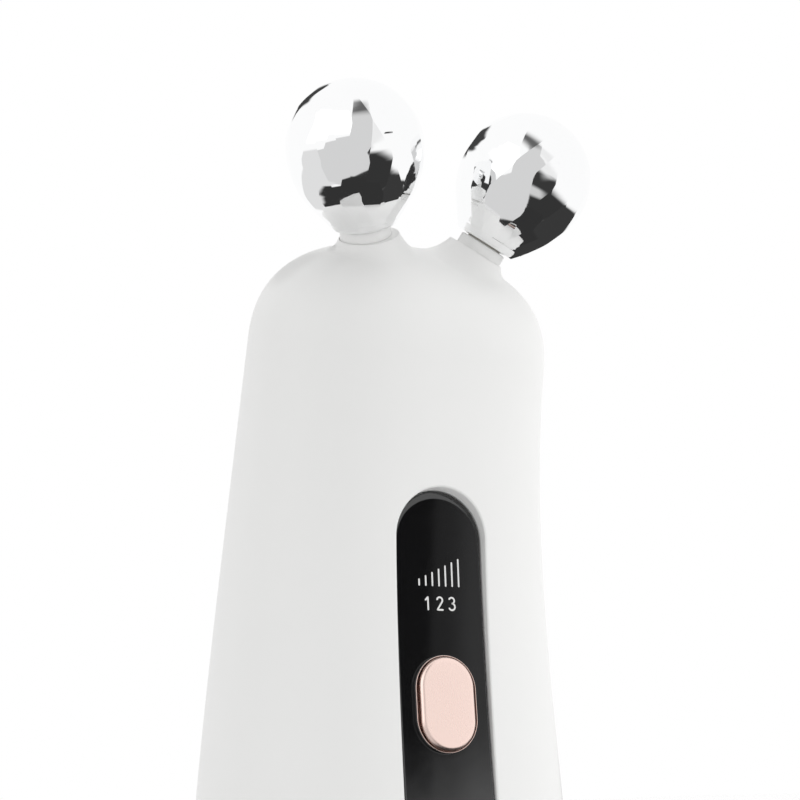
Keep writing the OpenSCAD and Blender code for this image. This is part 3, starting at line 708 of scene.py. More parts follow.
class TONING_OT_shell(bpy.types.Operator):
    """Moulds the hand piece's shell: its leaning body, the turrets, the recess and the bores"""

    bl_idname = "toning.shell"
    bl_label = "Hand piece shell"

    def execute(self, context):
        b, r, p = sizes(context, "body", "roller", "panel")
        form, panel = BodyForm(b, r, p), panel_place(p)
        shell = piece("shell", shell_skin(form))
        # holes through the wall behind the panel: the button's, and one for each of three lamps
        room, lamp_radius, lamp_spacing, lamps_up, behind = 0.2, 0.7, 2, 18, -6
        button = (p.button_half_width + room, p.button_length + 2 * room)
        cutters = [recess_cutter(form),
                   pill_cutter("button_cutter", [(*button, behind), (*button, 1)], panel),
                   inlet_cutter(b)]
        lamp_hole = revolved([(lamp_radius, behind), (lamp_radius, 0)], 24)
        for x in (-lamp_spacing, 0, lamp_spacing):
            cutters.append(lofted("lamp_cutter", lamp_hole,
                                  panel @ Matrix.Translation((x, lamps_up, 0))))
        # (radius, height) of each post's bore: the post's own hole, then the collar's seat
        post_bore = [(2.05, -36), (2.05, -17.4), (3, -17.38), (3, -8)]
        for side in (LEFT, RIGHT):
            cutters.append(lofted("bore_cutter", revolved(post_bore), post_place(b, r, side)))
        cutters.append(yoke_cutter(form))
        carve(shell, cutters)
        tidy_mesh(shell.data)
        finished(shell, "handle", "white_shell", "housing")
        return {"FINISHED"}


# ---------------------------------------------------------------------------
# Faceted balls and their collars
# ---------------------------------------------------------------------------
SKIRT_ANGLE = math.radians(35.7)
SKIRT_START, POLE = -11.2, 15.3     # distances up the outline from the equator
FIRST_ROW, LAST_ROW = -1, 3


def ball_outline(r, s):
    """(radius, height) at a distance s up the ball's outline from its equator."""
    if s > 0:
        return (r.ball_radius * math.cos(s / r.ball_radius),
                r.ball_radius * math.sin(s / r.ball_radius))
    turn = min(-s / r.lower_radius, SKIRT_ANGLE)
    below = -s - r.lower_radius * turn
    return (r.ball_radius - r.lower_radius * (1 - math.cos(turn)) - below * math.sin(turn),
            -r.lower_radius * math.sin(turn) - below * math.cos(turn))


def facet_levels(r, row):
    """(distance up the outline, half width of the facet in steps) from a facet's lower end up."""
    tip_levels, spacing = 8, 0.65
    low = r.facet_start + (row - 1) * r.facet_pitch
    high = r.facet_start + row * r.facet_pitch - r.facet_point
    levels = []
    if row > FIRST_ROW:
        levels += [(low + r.facet_point * (k / tip_levels - 1), 0.5 * k / tip_levels)
                   for k in range(tip_levels)]
    low = max(SKIRT_START, low)
    high = POLE if row == LAST_ROW else high
    count = math.ceil((high - low) / spacing)
    levels += [(low + (high - low) * k / count, 0.5) for k in range(count + 1)]
    if row < LAST_ROW:
        levels += [(high + r.facet_point * k / tip_levels, 0.5 * (1 - k / tip_levels))
                   for k in range(1, tip_levels + 1)]
    return levels


def facet_rows(bm, r, rims):
    """Adds the rows of facets and the pole's cap, and gives the corners where the skirt starts.
    The edges that get rounded are added to rims."""
    step = 2 * math.pi / r.facet_count
    plain_pole = r.ball_radius * 0.97       # above this height the edges aren't rounded
    found = {}

    def corner(s, turn):
        key = (round(s, 5), round(turn / step * 1e4) % (r.facet_count * 10000))
        if key not in found:
            radius, height = ball_outline(r, s)
            found[key] = bm.verts.new((radius * math.cos(turn), radius * math.sin(turn), height))
        return found[key]

    for row in range(FIRST_ROW, LAST_ROW + 1):
        for j in range(r.facet_count):
            middle = step * (j + row / 2)
            sides = [(corner(s, middle - half * step), corner(s, middle + half * step))
                     for s, half in facet_levels(r, row)]
            for (a, c), (d, e) in zip(sides, sides[1:]):
                corners = [a, c, e, d]
                kept = [v for i, v in enumerate(corners) if v is not corners[i - 1]]
                if len(kept) > 2:
                    bm.faces.new(kept)
                for low, high in ((a, d), (c, e)):
                    if low is not high and max(low.co.z, high.co.z) < plain_pole:
                        rims.add(frozenset((low, high)))
    bm.faces.new([corner(POLE, step * (j + (LAST_ROW + 1) / 2)) for j in range(r.facet_count)])
    return [corner(SKIRT_START, step * (j + (FIRST_ROW + 1) / 2)) for j in range(r.facet_count)]


def skirt_end(bm, r, rims, start):
    """Runs the facets' lower edges out into a round end, and adds the end's edge and the bore."""
    step, fine = 2 * math.pi / r.facet_count, 6
    first_turn = (FIRST_ROW + 1) / 2
    count = r.facet_count * fine
    turns = [step * (first_turn + i / fine) for i in range(count)]
    top_radius, top_height = ball_outline(r, SKIRT_START)

    def ring(radius, height, flat=0.0):
        verts = []
        for t in turns:
            away = (t / step - first_turn) % 1 - 0.5
            chord = math.cos(step / 2) / math.cos(away * step)
            out = radius * (1 + flat * (chord - 1))
            verts.append(bm.verts.new((out * math.cos(t), out * math.sin(t), height)))
        return verts

    below_facets = 0.002
    last = ring(top_radius, top_height - below_facets, 1.0)
    for j in range(r.facet_count):
        after = start[(j + 1) % r.facet_count]
        bm.faces.new([after, start[j]] + [last[(j * fine + i) % count] for i in range(fine + 1)])
        rims.add(frozenset((start[j], after)))

    # (radius, height, how flat its facets are) down the skirt, round its end and up the bore;
    # the bore is the bush's seat, then the post's blind end
    end_round, flare, chamfer, blind = 0.22, 0.06, 0.15, r.bore_radius - 0.2
    rows = []
    for share in (1 / 3, 2 / 3, 1.0):
        rows.append((top_radius + (r.skirt_radius + flare - top_radius) * share,
                     top_height + (-r.skirt_length + end_round - top_height) * share, 1 - share))
    rows += [(radius, -height) for radius, height
             in rounded_edge(r.skirt_radius, r.skirt_length, end_round, (15, 40, 65, 90))]
    rows += [(r.bore_radius + chamfer, -r.skirt_length), (r.bore_radius, -r.skirt_length + chamfer),
             (r.bore_radius, -1.0), (blind, -0.98), (blind, 3.0), (1.0, 3.4)]
    for row in rows:
        now = ring(*row)
        for i in range(count):
            bm.faces.new((last[i], last[i - 1], now[i - 1], now[i]))
        last = now
    bm.faces.new(last)


def ball_mesh(name, r, matrix):
    """A ball of interlocking rows of pointed facets that run down its skirt, with a bore."""
    bm, rims = bmesh.new(), set()
    skirt_end(bm, r, rims, facet_rows(bm, r, rims))
    bmesh.ops.recalc_face_normals(bm, faces=bm.faces)

    weights = bm.edges.layers.float.new("bevel_weight_edge")
    for edge in bm.edges:
        if frozenset(edge.verts) in rims:
            edge[weights] = 1.0
            edge.smooth = False
    for face in bm.faces:
        face.smooth = True
    mesh = bpy.data.meshes.new(name)
    bm.to_mesh(mesh)
    bm.free()
    mesh.transform(Matrix.Scale(MM, 4) @ matrix)
    ball = linked(name, mesh)
    rounding = ball.modifiers.new("Edge rounding", "BEVEL")
    rounding.limit_method, rounding.width, rounding.segments = "WEIGHT", r.edge_round * MM, 2
    rounding.use_clamp_overlap = True
    applied(ball)
    ball.data.set_sharp_from_angle(angle=math.radians(40))
    return ball


class TONING_OT_balls(bpy.types.Operator):
    """Makes both faceted, mirror-plated balls, each on its own spinning body"""

    bl_idname = "toning.balls"
    bl_label = "Faceted balls"

    def execute(self, context):
        b, r = sizes(context, "body", "roller")
        for name, side in SIDES.items():
            turn = Matrix.Rotation(r.right_turn if side == RIGHT else r.left_turn, 4, "Z")
            ball = ball_mesh(f"{name}_faceted_ball", r, post_place(b, r, side) @ turn)
            finished(ball, f"{name}_roller_set", "roller_plate", f"{name}_roller")
        return {"FINISHED"}


class TONING_OT_collars(bpy.types.Operator):
    """Turns the white collar under each ball, with its rounded shoulders and post bore"""

    bl_idname = "toning.collars"
    bl_label = "Collars"

    def execute(self, context):
        b, r = sizes(context, "body", "roller")
        base, top = -turret_top(r), -r.skirt_length - SKIRT_GAP
        bore, spigot, spigot_length, gap, chamfer, edge = 2.0, 2.99, 3, 0.02, 0.15, 0.22
        profile = [(bore, base - spigot_length), (spigot, base - spigot_length),
                   (spigot, base + gap), (r.collar_radius, base + gap),
                   *rounded_edge(r.collar_radius, top, edge, range(0, 91, 15)),
                   (bore + chamfer, top), (bore, top - chamfer)]
        for name, side in SIDES.items():
            collar = looped(f"{name}_turned_collar", revolved(profile), post_place(b, r, side))
            finished(collar, "handle", "white_shell", f"{name}_collar")
        return {"FINISHED"}


# ---------------------------------------------------------------------------
# Panel, button and printed marks
# ---------------------------------------------------------------------------
class TONING_OT_panel(bpy.types.Operator):
    """Makes the gloss front panel, bent to the body, with polished edges and the button's hole"""

    bl_idname = "toning.panel"
    bl_label = "Front panel"

    def execute(self, context):
        p, = sizes(context, "panel")
        count, edge, blends = 240, 0.16, 24
        half, full = p.half_width - p.gap, p.length - 2 * p.gap
        grip = 0.01     # how far the hole's side bites into the ring's
        hole_half, hole_full = p.ring_half_width - grip, p.ring_length - 2 * grip
        seat, rise, seat_edge = p.ring_seat, p.ring_rise - 0.1, 0.04

        def rim(out, z):
            return bent(pill_ring(half + out, full + 2 * out, z, count), p)

        def hole(out, z):
            return pill_ring(hole_half + out, hole_full + 2 * out, z, count, p.button_drop)

        rings = [rim(0, -p.thickness), rim(0, -edge)]
        rings += [rim(out, z) for out, z in rounded_edge(0, 0, edge, range(15, 91, 15))]
        outer, inner = pill_ring(half - edge, full - 2 * edge, 0, count), hole(seat, 0)
        rings += [bent(outer + (inner - outer) * k / blends, p) for k in range(1, blends + 1)]
        rings += [hole(seat, rise - seat_edge), hole(seat - seat_edge, rise), hole(0.0, rise),
                  hole(0.0, -p.thickness)]
        glass = looped("panel_glass", rings, panel_place(p), sharp=50)
        finished(glass, "handle", "panel_black", "control_panel")
        return {"FINISHED"}


def plated_ring(p, place):
    """A thin sleeve in the panel's raised seat, its top edge fully rounded."""
    half, full, edge = p.ring_half_width, p.ring_length, p.ring_wall / 2
    foot, seated = 0.1 - (p.thickness + p.adhesive), half - 0.03
    profile = [(seated, foot), (seated, p.ring_rise - 0.09), (half, p.ring_rise - 0.08),
               *rounded_edge(half, p.ring_rise, edge, range(0, 181, 20)),
               (half - p.ring_wall, foot)]
    rings = [pill_ring(w, full - 2 * (half - w), z, drop=p.button_drop) for w, z in profile]
    ring = looped("plated_ring", rings, place, sharp=40)
    finished(ring, "handle", "rose_gold", "button_bezel")


def push_button(p, place):
    """The button: its stem, flange and waist, then its skirt and softly domed face."""
    half, full, edge, drop = p.button_half_width, p.button_length, p.button_edge, p.button_drop
    floor, crown, blends = p.thickness + p.adhesive, 0.05, 13
    stem, flange, flange_low, flange_high = 1.6, 0.9, -floor - SLAB - 1.0, -floor - SLAB - 0.05
    turn = np.arctan2(*pill(half, full, 160).T[::-1])
    rings = [np.stack([stem * np.cos(turn), stem * np.sin(turn), np.full(len(turn), z)], 1)
             for z in (DOME_TOP - p.board_depth, flange_low)]
    rings += [pill_ring(half + flange, full + 0.8, z) for z in (flange_low, flange_high)]
    rings += [pill_ring(half, full - 0.6, z) for z in (flange_high, -floor)]
    face = p.button_rise - crown
    rings += [pill_ring(half, full, z, drop=drop) for z in (-floor, face - edge)]
    rings += [pill_ring(half + out, full + 2 * out, z, drop=drop)
              for out, z in rounded_edge(0, face, edge, range(15, 91, 15))]
    for k in range(1, blends):
        share = 1 - k / blends
        rings.append(pill_ring((half - edge) * share, full - 2 * half + 2 * (half - edge) * share,
                               face + crown * (1 - share ** 2), drop=drop))
    button = lofted("push_button", rings, place, sharp=50)
    finished(button, "button", "rose_gold", "power_button")


def spring_dome(p, place):
    """The silicone dome that the button's stem squeezes against the switch."""
    base, top = -p.board_depth + SWITCH_TOP, -p.board_depth + DOME_TOP
    profile = [(0.5, base), (1.68, base), (1.7, base + 0.12), (1.62, base + 0.5), (1.2, top - 0.12),
               (0.9, top - 0.01), (0.5, top - 0.02), (0.42, base + 0.5)]
    dome = looped("spring_dome", revolved(profile, 64), place)
    finished(dome, "handle", "silicone", "button_dome")
    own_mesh(dome)


class TONING_OT_button(bpy.types.Operator):
    """Makes the plated ring, the softly domed button with its stem, and the silicone dome"""

    bl_idname = "toning.button"
    bl_label = "Push button"

    def execute(self, context):
        p, = sizes(context, "panel")
        place = panel_place(p)
        plated_ring(p, place)
        push_button(p, place)
        spring_dome(p, place)
        return {"FINISHED"}


def stroke_mark(name, p, strokes, width):
    """A raised printed mark: strokes of the given width along paths on the bent face."""
    skin, place = Skin(), panel_place(p)
    for path in strokes:
        path = np.array(path, float)
        ahead = unit(np.gradient(path, axis=0))
        beside = np.stack([-ahead[:, 1], ahead[:, 0]], 1) * width / 2
        ends = []
        for end, way in ((0, -1), (-1, 1)):
            turn = np.radians(np.linspace(90, -90, 7))[1:-1] * way
            base = ahead[end] * way
            side = np.array([-base[1], base[0]])
            ends.append([path[end] + width / 2 * (math.cos(t) * base + math.sin(t) * side * way)
                         for t in turn])
        outline = np.concatenate([path + beside, ends[1], (path - beside)[::-1], ends[0]])
        low, high = (skin.ring(bent(np.c_[outline, np.full(len(outline), z)], p))
                     for z in (-0.01, p.mark_rise))
        skin.bridge(low, high)
        n, m = len(path), len(ends[0])
        for base in (low, high):
            lefts, rights = base[:n], base[n + m:2 * n + m][::-1]
            for i in range(n - 1):
                skin.faces.append((lefts[i], lefts[i + 1], rights[i + 1], rights[i]))
            skin.faces.append((lefts[-1], *base[n:n + m], rights[-1]))
            skin.faces.append((rights[0], *base[2 * n + m:], lefts[0]))
    return piece(name, skin, place, sharp=40, weld=0)


def arc(centre, radius, start, stop):
    """Points round a centre, between two angles in degrees."""
    return [(centre[0] + radius * math.cos(math.radians(a)),
             centre[1] + radius * math.sin(math.radians(a))) for a in np.linspace(start, stop, 14)]


class TONING_OT_marks(bpy.types.Operator):
    """Prints the rising level bars and the figures of the three levels on the panel"""

    bl_idname = "toning.marks"
    bl_label = "Printed marks"

    def execute(self, context):
        p, = sizes(context, "panel")
        line_width = 0.24
        bars_foot, bar_spacing, bar_count, shortest, growth = 16.1, 1.04, 7, 0.75, 0.5
        bars = [[(bar_spacing * (i - bar_count // 2), bars_foot + (shortest + growth * i) * k / 4)
                 for k in range(5)] for i in range(bar_count)]
        marks = {"level_bars": bars}

        figures_foot, figure_spacing, tall, half, bowl = 12.72, 1.9, 1.75, 0.42, 0.47
        one = [list(zip(np.linspace(-0.3, 0.06, 4), np.linspace(tall - half, tall, 4))),
               [(0.06, tall * k / 5) for k in range(6)]]
        two = [arc((0, tall - half), half, 165, -30) + [(-half * 0.95, 0.0)],
               [(-half * 0.95, 0), (0, 0), (half * 1.05, 0)]]
        three = [arc((-0.02, tall - half), half, 150, -78), arc((0, bowl), bowl, 82, -150)]
        for name, figure, place in (("one", one, -1), ("two", two, 0), ("three", three, 1)):
            marks[f"figure_{name}"] = [[(x + place * figure_spacing, y + figures_foot)
                                        for x, y in stroke] for stroke in figure]
        for name, strokes in marks.items():
            mark = stroke_mark(name, p, strokes, line_width)
            finished(mark, "handle", "panel_black", look="print")
        return {"FINISHED"}


# ---------------------------------------------------------------------------
# Shared effects, each a node group with its own named values in every material
# ---------------------------------------------------------------------------
def effect(name, *outputs, **inputs):
    """A new node group with named sockets: its wiring, and what its inputs put out."""
    group = bpy.data.node_groups.new(name, "ShaderNodeTree")
    for label, value in inputs.items():
        kind = "Float" if isinstance(value, float) else {3: "Vector", 4: "Color"}[len(value)]
        socket = group.interface.new_socket(label.title(), in_out="INPUT",
                                            socket_type=f"NodeSocket{kind}")
        socket.default_value = value
    for label in outputs:
        kind = "Color" if label == "Colour" else "Float"
        group.interface.new_socket(label, in_out="OUTPUT", socket_type=f"NodeSocket{kind}")
    w = Wiring(group)
    return w, w.node("NodeGroupInput").outputs


class Wiring:
    """Adds nodes to a tree and links them by name."""

    def __init__(self, tree):
        self.tree = tree

    def node(self, kind, links=None, **values):
        """A new node with its values set and its sockets linked or filled."""
        node = self.tree.nodes.new(kind if kind.startswith("NodeGroup") else f"ShaderNode{kind}")
        for key, value in values.items():
            setattr(node, key, value)
        for key, source in (links or {}).items():
            socket = node.inputs[key]
            if isinstance(source, bpy.types.NodeSocket):
                self.tree.links.new(source, socket)
            else:
                socket.default_value = source
        return node

    def math(self, operation, a, b, clamp=False):
        return self.node("Math", {0: a, 1: b}, operation=operation, use_clamp=clamp).outputs[0]

    def times(self, a, b):
        return self.math("MULTIPLY", a, b)

    def plus(self, a, b):
        return self.math("ADD", a, b)

    def ramp(self, value, low, high, to_low=0.0, to_high=1.0):
        """A soft step of the value between low and high."""
        return self.node("MapRange", {"Value": value, "From Min": low, "From Max": high,
                                      "To Min": to_low, "To Max": to_high},
                         interpolation_type="SMOOTHSTEP").outputs["Result"]

    def mix(self, share, a, b):
        """Colour b over colour a by a share."""
        return self.node("Mix", {0: share, 6: a, 7: b}, data_type="RGBA").outputs[2]

    def place(self):
        """The point's place on the object."""
        return self.node("TexCoord").outputs["Object"]

    def noise(self, where, scale, detail):
        return self.node("TexNoise", {"Vector": where, "Scale": scale,
                                      "Detail": detail}).outputs["Fac"]

    def shared(self, name, **values):
        """Places the shared effect of that name with its own values, and gives its outputs. The
        effect is built the first time it is asked for."""
        if name not in bpy.data.node_groups:
            EFFECTS[name](name)
        links = {key.title(): value for key, value in values.items()}
        return self.node("Group", links, node_tree=bpy.data.node_groups[name]).outputs

    def put_out(self, **values):
        """Sets what the group puts out."""
        self.node("NodeGroupOutput", {key.title(): value for key, value in values.items()})


def emptied(owner):
    """Wiring for the emptied node tree of a material or world."""
    owner.use_nodes = True
    owner.node_tree.nodes.clear()
    return Wiring(owner.node_tree)


def build_tone_drift(name):
    """A colour whose tone drifts slowly, with a finer cloud over it."""
    w, i = effect(name, "Colour", colour=(0.8, 0.8, 0.8, 1), shift=0.02, scale=60.0)
    where = w.place()
    cloud = w.noise(where, i["Scale"], 2.0)
    fine = w.noise(where, w.times(i["Scale"], 9.0), 4.0)
    both = w.plus(w.times(cloud, 1.4), w.times(fine, 0.6))
    shift = w.times(w.math("SUBTRACT", both, 1.0), i["Shift"])
    scaled = w.node("VectorMath", {0: i["Colour"], "Scale": w.plus(shift, 1.0)}, operation="SCALE")
    w.put_out(colour=scaled.outputs["Vector"])


def build_grain(name):
    """The soft grain and small pits of a moulded surface."""
    w, i = effect(name, "Height", "Mask", scale=3000.0, pits=0.3)
    where = w.place()
    soft = w.noise(where, i["Scale"], 4.0)
    cells = w.node("TexVoronoi", {"Vector": where, "Scale": w.times(i["Scale"], 0.6)},
                   feature="SMOOTH_F1").outputs["Distance"]
    pits = w.times(w.ramp(cells, 0.05, 0.35), i["Pits"])
    w.put_out(height=w.plus(soft, pits), mask=soft)


def build_scratches(name):
    """Thin scratches in two directions, gathered in patches."""
    w, i = effect(name, "Height", "Mask", scale=900.0, share=0.2)
    where = w.place()
    lines = []
    for turn, stretch in (((0.3, 0.1, 0.5), (1, 26, 3)), ((1.1, 0.4, -0.6), (24, 1.4, 2))):
        laid = w.node("Mapping", {"Vector": where, "Rotation": turn, "Scale": stretch})
        lines.append(w.ramp(w.noise(laid.outputs["Vector"], i["Scale"], 1.0), 0.66, 0.74))
    patchy = w.ramp(w.noise(where, w.times(i["Scale"], 0.12), 2.0), 0.45, 0.62)
    mask = w.times(w.times(w.math("MAXIMUM", *lines), patchy), i["Share"])
    w.put_out(height=w.math("SUBTRACT", 1.0, mask), mask=mask)


def build_brushed(name):
    """Fine lines along one direction."""
    w, i = effect(name, "Height", "Mask", scale=2600.0, along=(1.0, 1.0, 0.04))
    laid = w.node("VectorMath", {0: w.place(), 1: i["Along"]}, operation="MULTIPLY")
    lines = w.noise(laid.outputs["Vector"], i["Scale"], 5.0)
    w.put_out(height=lines, mask=w.ramp(lines, 0.35, 0.65))


def build_edge_wear(name):
    """Mask of the edges that handling has worn."""
    w, i = effect(name, "Mask", width=0.00012, amount=0.4)
    rounded = w.node("Bevel", {"Radius": i["Width"]}, samples=4).outputs["Normal"]
    plain = w.node("NewGeometry").outputs["Normal"]
    turn = w.node("VectorMath", {0: rounded, 1: plain}, operation="DOT_PRODUCT").outputs["Value"]
    edges = w.ramp(turn, 0.995, 0.86)
    patchy = w.ramp(w.noise(w.place(), 1400.0, 3.0), 0.35, 0.6)
    w.put_out(mask=w.times(w.times(edges, patchy), i["Amount"]))


def build_dust(name):
    """Mask of the dust that settles on faces that look up."""
    w, i = effect(name, "Mask", amount=0.1, scale=700.0)
    where = w.place()
    up = w.node("SeparateXYZ", {0: w.node("NewGeometry").outputs["Normal"]}).outputs["Z"]
    settled = w.ramp(up, 0.1, 0.95)
    specks = w.ramp(w.noise(where, i["Scale"], 6.0), 0.5, 0.72)
    veil = w.times(w.noise(where, w.times(i["Scale"], 0.1), 2.0), 0.35)
    both = w.times(w.plus(specks, veil), settled)
    w.put_out(mask=w.math("MULTIPLY", both, i["Amount"], clamp=True))


def build_smudge(name):
    """Mask of the faint smudges that fingers leave."""
    w, i = effect(name, "Mask", scale=160.0, amount=0.5)
    where = w.place()
    cloud = w.ramp(w.noise(where, i["Scale"], 5.0), 0.42, 0.7)
    ridges = w.node("TexWave", {"Vector": where, "Scale": w.times(i["Scale"], 6.0),
                                "Distortion": 9.0, "Detail": 2.0}).outputs["Fac"]
    touched = w.times(cloud, w.plus(w.times(ridges, 0.3), 0.7))
    w.put_out(mask=w.times(touched, i["Amount"]))


def build_card_edge(name):
    """Mask of the directions on the inner side of one edge of a card."""
    w, i = effect(name, "Mask", direction=(0, 0, 1), inward=(0, 0, 1), softness=0.05)
    inside = w.node("VectorMath", {0: i["Direction"], 1: i["Inward"]}, operation="DOT_PRODUCT")
    share = w.plus(w.math("DIVIDE", inside.outputs["Value"], i["Softness"]), 0.5)
    w.put_out(mask=w.ramp(share, 0.0, 1.0))


EFFECTS = {
    "Tone drift": build_tone_drift,
    "Moulded grain": build_grain,
    "Fine scratches": build_scratches,
    "Brushed lines": build_brushed,
    "Edge wear": build_edge_wear,
    "Settled dust": build_dust,
    "Handling smudge": build_smudge,
    "Card edge": build_card_edge,
}


# Each finish: its title, roughness and how far that varies, metallic, the surface effect with its
# scale and its depth in millimetres, the drift of its tone, the colour and share of its worn
# edges, its scratches, smudges and dust, a clear coat's weight, and its refraction.
PLAIN = dict(rough=0.4, vary=0.08, metal=0.0, surface="Moulded grain", scale=2600.0, depth=0.004,
             drift=0.05, worn=None, wear=0.3, scratch=0.0, smudge=0.0, dust=0.05, coat=0.0,
             ior=1.47)
FINISHES = {
    "white_shell": dict(title="Satin moulded shell", rough=0.34, vary=0.04, scale=3200.0,
                        depth=0.0012, drift=0.012, worn=(0.97, 0.97, 0.965), wear=0.35, smudge=0.05,
                        dust=0.015),
    "panel_black": dict(title="Gloss black panel", rough=0.035, vary=0.004, scale=500.0,
                        depth=0.0002, drift=0.08, worn=(0.05, 0.05, 0.052), wear=0.25, scratch=0.05,
                        smudge=0.008, dust=0.004, ior=1.78),
    "rose_gold": dict(title="Satin rose plating", rough=0.27, vary=0.02, metal=1.0,
                      surface="Brushed lines", scale=7800.0, depth=0.00002, drift=0.015,
                      worn=(0.95, 0.83, 0.76), wear=0.4, scratch=0.05, smudge=0.04, dust=0.004),
    "roller_plate": dict(title="Mirror-plated ball", rough=0.02, vary=0.012, metal=1.0, scale=350.0,
                         depth=0.0002, drift=0.012, worn=(0.97, 0.97, 0.975), scratch=0.05,
                         smudge=0.05, dust=0.003),
    "steel": dict(title="Turned steel", rough=0.24, metal=1.0, surface="Brushed lines", depth=0.002,
                  drift=0.06, worn=(0.86, 0.87, 0.88), scratch=0.25, dust=0.03),
    "bronze": dict(title="Sintered bronze bush", rough=0.38, metal=1.0, scale=5200.0, depth=0.006,
                   drift=0.14, worn=(0.9, 0.74, 0.48), wear=0.6, scratch=0.1),
    "contact_plate": dict(title="Plated contact wire", rough=0.2, metal=1.0, scale=1800.0,
                          depth=0.001, drift=0.06, worn=(0.95, 0.8, 0.52), scratch=0.1),
    "frame_grey": dict(title="Glass-filled frame moulding", rough=0.52, scale=1900.0, depth=0.012,
                       drift=0.09, worn=(0.56, 0.58, 0.6), wear=0.5, scratch=0.12, dust=0.1),
    "soft_grey": dict(title="Soft foot pad", rough=0.82, scale=1500.0, depth=0.02, drift=0.12,
                      worn=(0.42, 0.42, 0.43), wear=0.5, scratch=0.1, dust=0.14),
    "soft_black": dict(title="Lipped rubber seal", rough=0.7, scale=2200.0, depth=0.008, drift=0.25,
                       worn=(0.14, 0.14, 0.14), dust=0.08),
    "silicone": dict(title="Milky silicone dome", rough=0.5, scale=2400.0, drift=0.04, coat=0.1),
    "slip_white": dict(title="Waxy slip washer", rough=0.45, surface="Brushed lines", scale=1600.0,
                       depth=0.003, worn=(0.96, 0.95, 0.92), scratch=0.2),
    "adhesive_sheet": dict(title="Foam adhesive sheet", rough=0.85, scale=2800.0, depth=0.03,
                           drift=0.18, dust=0.12),
    "board_green": dict(title="Masked circuit board", rough=0.28, surface="Brushed lines",
                        scale=700.0, depth=0.006, drift=0.22, worn=(0.5, 0.42, 0.22), wear=0.5,
                        coat=0.3),
    "chip_black": dict(title="Moulded chip", rough=0.55, scale=4200.0, depth=0.006, drift=0.2,
                       worn=(0.12, 0.12, 0.13), scratch=0.05),
    "switch_body": dict(title="Moulded switch body", rough=0.45, scale=3000.0, depth=0.005,
                        drift=0.16, worn=(0.22, 0.22, 0.23)),
    "winding": dict(title="Taped winding", rough=0.5, surface="Brushed lines", scale=1500.0,
                    depth=0.02, drift=0.25, worn=(0.34, 0.26, 0.18)),
    "capacitor_sleeve": dict(title="Printed sleeve", rough=0.35, scale=1500.0, drift=0.14,
                             worn=(0.3, 0.33, 0.5), coat=0.2),
    "lamp_lens": dict(title="Clouded lamp lens", rough=0.2, vary=0.05, scale=2000.0, depth=0.002,
                      drift=0.06, dust=0.02, coat=0.4),
    "cell_wrap": dict(title="Shrink-wrapped cell", rough=0.32, surface="Brushed lines", scale=260.0,
                      depth=0.02, drift=0.1, worn=(0.42, 0.56, 0.72), scratch=0.15,
                      coat=0.3),
    "inlet_steel": dict(title="Drawn inlet shell", rough=0.26, metal=1.0, surface="Brushed lines",
                        scale=3400.0, depth=0.002, drift=0.06, worn=(0.88, 0.88, 0.9), wear=0.6,
                        scratch=0.3, dust=0.02),
    "print": dict(title="Screen-printed ink", rough=0.6, scale=3800.0, depth=0.002, drift=0.03,
                  dust=0.0),
}
for wire, tone_drift in (("red", 0.14), ("black", 0.3), ("yellow", 0.14)):
    FINISHES[f"wire_{wire}"] = dict(title=f"{wire.title()} insulation", rough=0.5, scale=1500.0,
                                    depth=0.006, drift=tone_drift, dust=0.06)
DUST_COLOUR = (0.72, 0.71, 0.69, 1)


def finish(look):
    """The material of one finish, built the first time it is asked for."""
    spec = {**PLAIN, **FINISHES[look]}
    if spec["title"] in bpy.data.materials:
        return bpy.data.materials[spec["title"]]
    chosen = settings(bpy.context).colours
    own = {"white_shell": chosen.shell, "panel_black": chosen.panel, "rose_gold": chosen.plating,
           "roller_plate": chosen.balls, "print": chosen.print}
    base = (*(own[look] if look in own else SLOT_COLOURS[look]), 1)
    material = bpy.data.materials.new(spec["title"])
    w = emptied(material)
    shader = w.node("BsdfPrincipled", {"Metallic": spec["metal"], "IOR": spec["ior"],
                                       "Coat Weight": spec["coat"], "Coat Roughness": 0.08})

    tone = w.shared("Tone drift", colour=base, shift=spec["drift"], scale=70.0)["Colour"]
    surface = w.shared(spec["surface"], scale=spec["scale"])
    height = surface["Height"]
    rough = w.ramp(surface["Mask"], 0.3, 0.7, max(0.01, spec["rough"] - spec["vary"]),
                   spec["rough"] + spec["vary"])
    if spec["worn"]:
        worn = w.shared("Edge wear", amount=spec["wear"])["Mask"]
        tone = w.mix(worn, tone, (*spec["worn"], 1))
    if spec["scratch"]:
        marks = w.shared("Fine scratches", scale=900.0, share=spec["scratch"])
        rough = w.plus(rough, w.times(marks["Mask"], 0.3))
        height = w.times(height, marks["Height"])
    if spec["smudge"]:
        rough = w.plus(rough, w.shared("Handling smudge", amount=spec["smudge"])["Mask"])
    if spec["dust"]:
        dust = w.shared("Settled dust", amount=spec["dust"])["Mask"]
        tone = w.mix(dust, tone, DUST_COLOUR)
        rough = w.plus(rough, w.times(dust, 0.4))
    bump = w.node("Bump", {"Height": height, "Distance": spec["depth"] * MM, "Strength": 1.0})
    for socket, source in (("Base Color", tone), ("Roughness", rough),
                           ("Normal", bump.outputs["Normal"])):
        w.tree.links.new(source, shader.inputs[socket])
    w.node("OutputMaterial", {"Surface": shader.outputs["BSDF"]})
    return material


class TONING_OT_fittings(bpy.types.Operator):
    """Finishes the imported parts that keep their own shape: base, posts, frame, boards and cell"""

    bl_idname = "toning.fittings"
    bl_label = "Inner parts and base"

    def execute(self, context):
        redrawn = {"housing", "control_panel", "button_bezel", "power_button", "button_dome",
                   "left_roller", "right_roller", "left_collar", "right_collar"}
        slots = {row["node"]: row["material_slot"] for row in frame["record"]["subparts"]}
        for node, obj in frame["nodes"].items():
            if node not in redrawn:
                for place in obj.material_slots:
                    place.material = finish(slots[node])
        return {"FINISHED"}


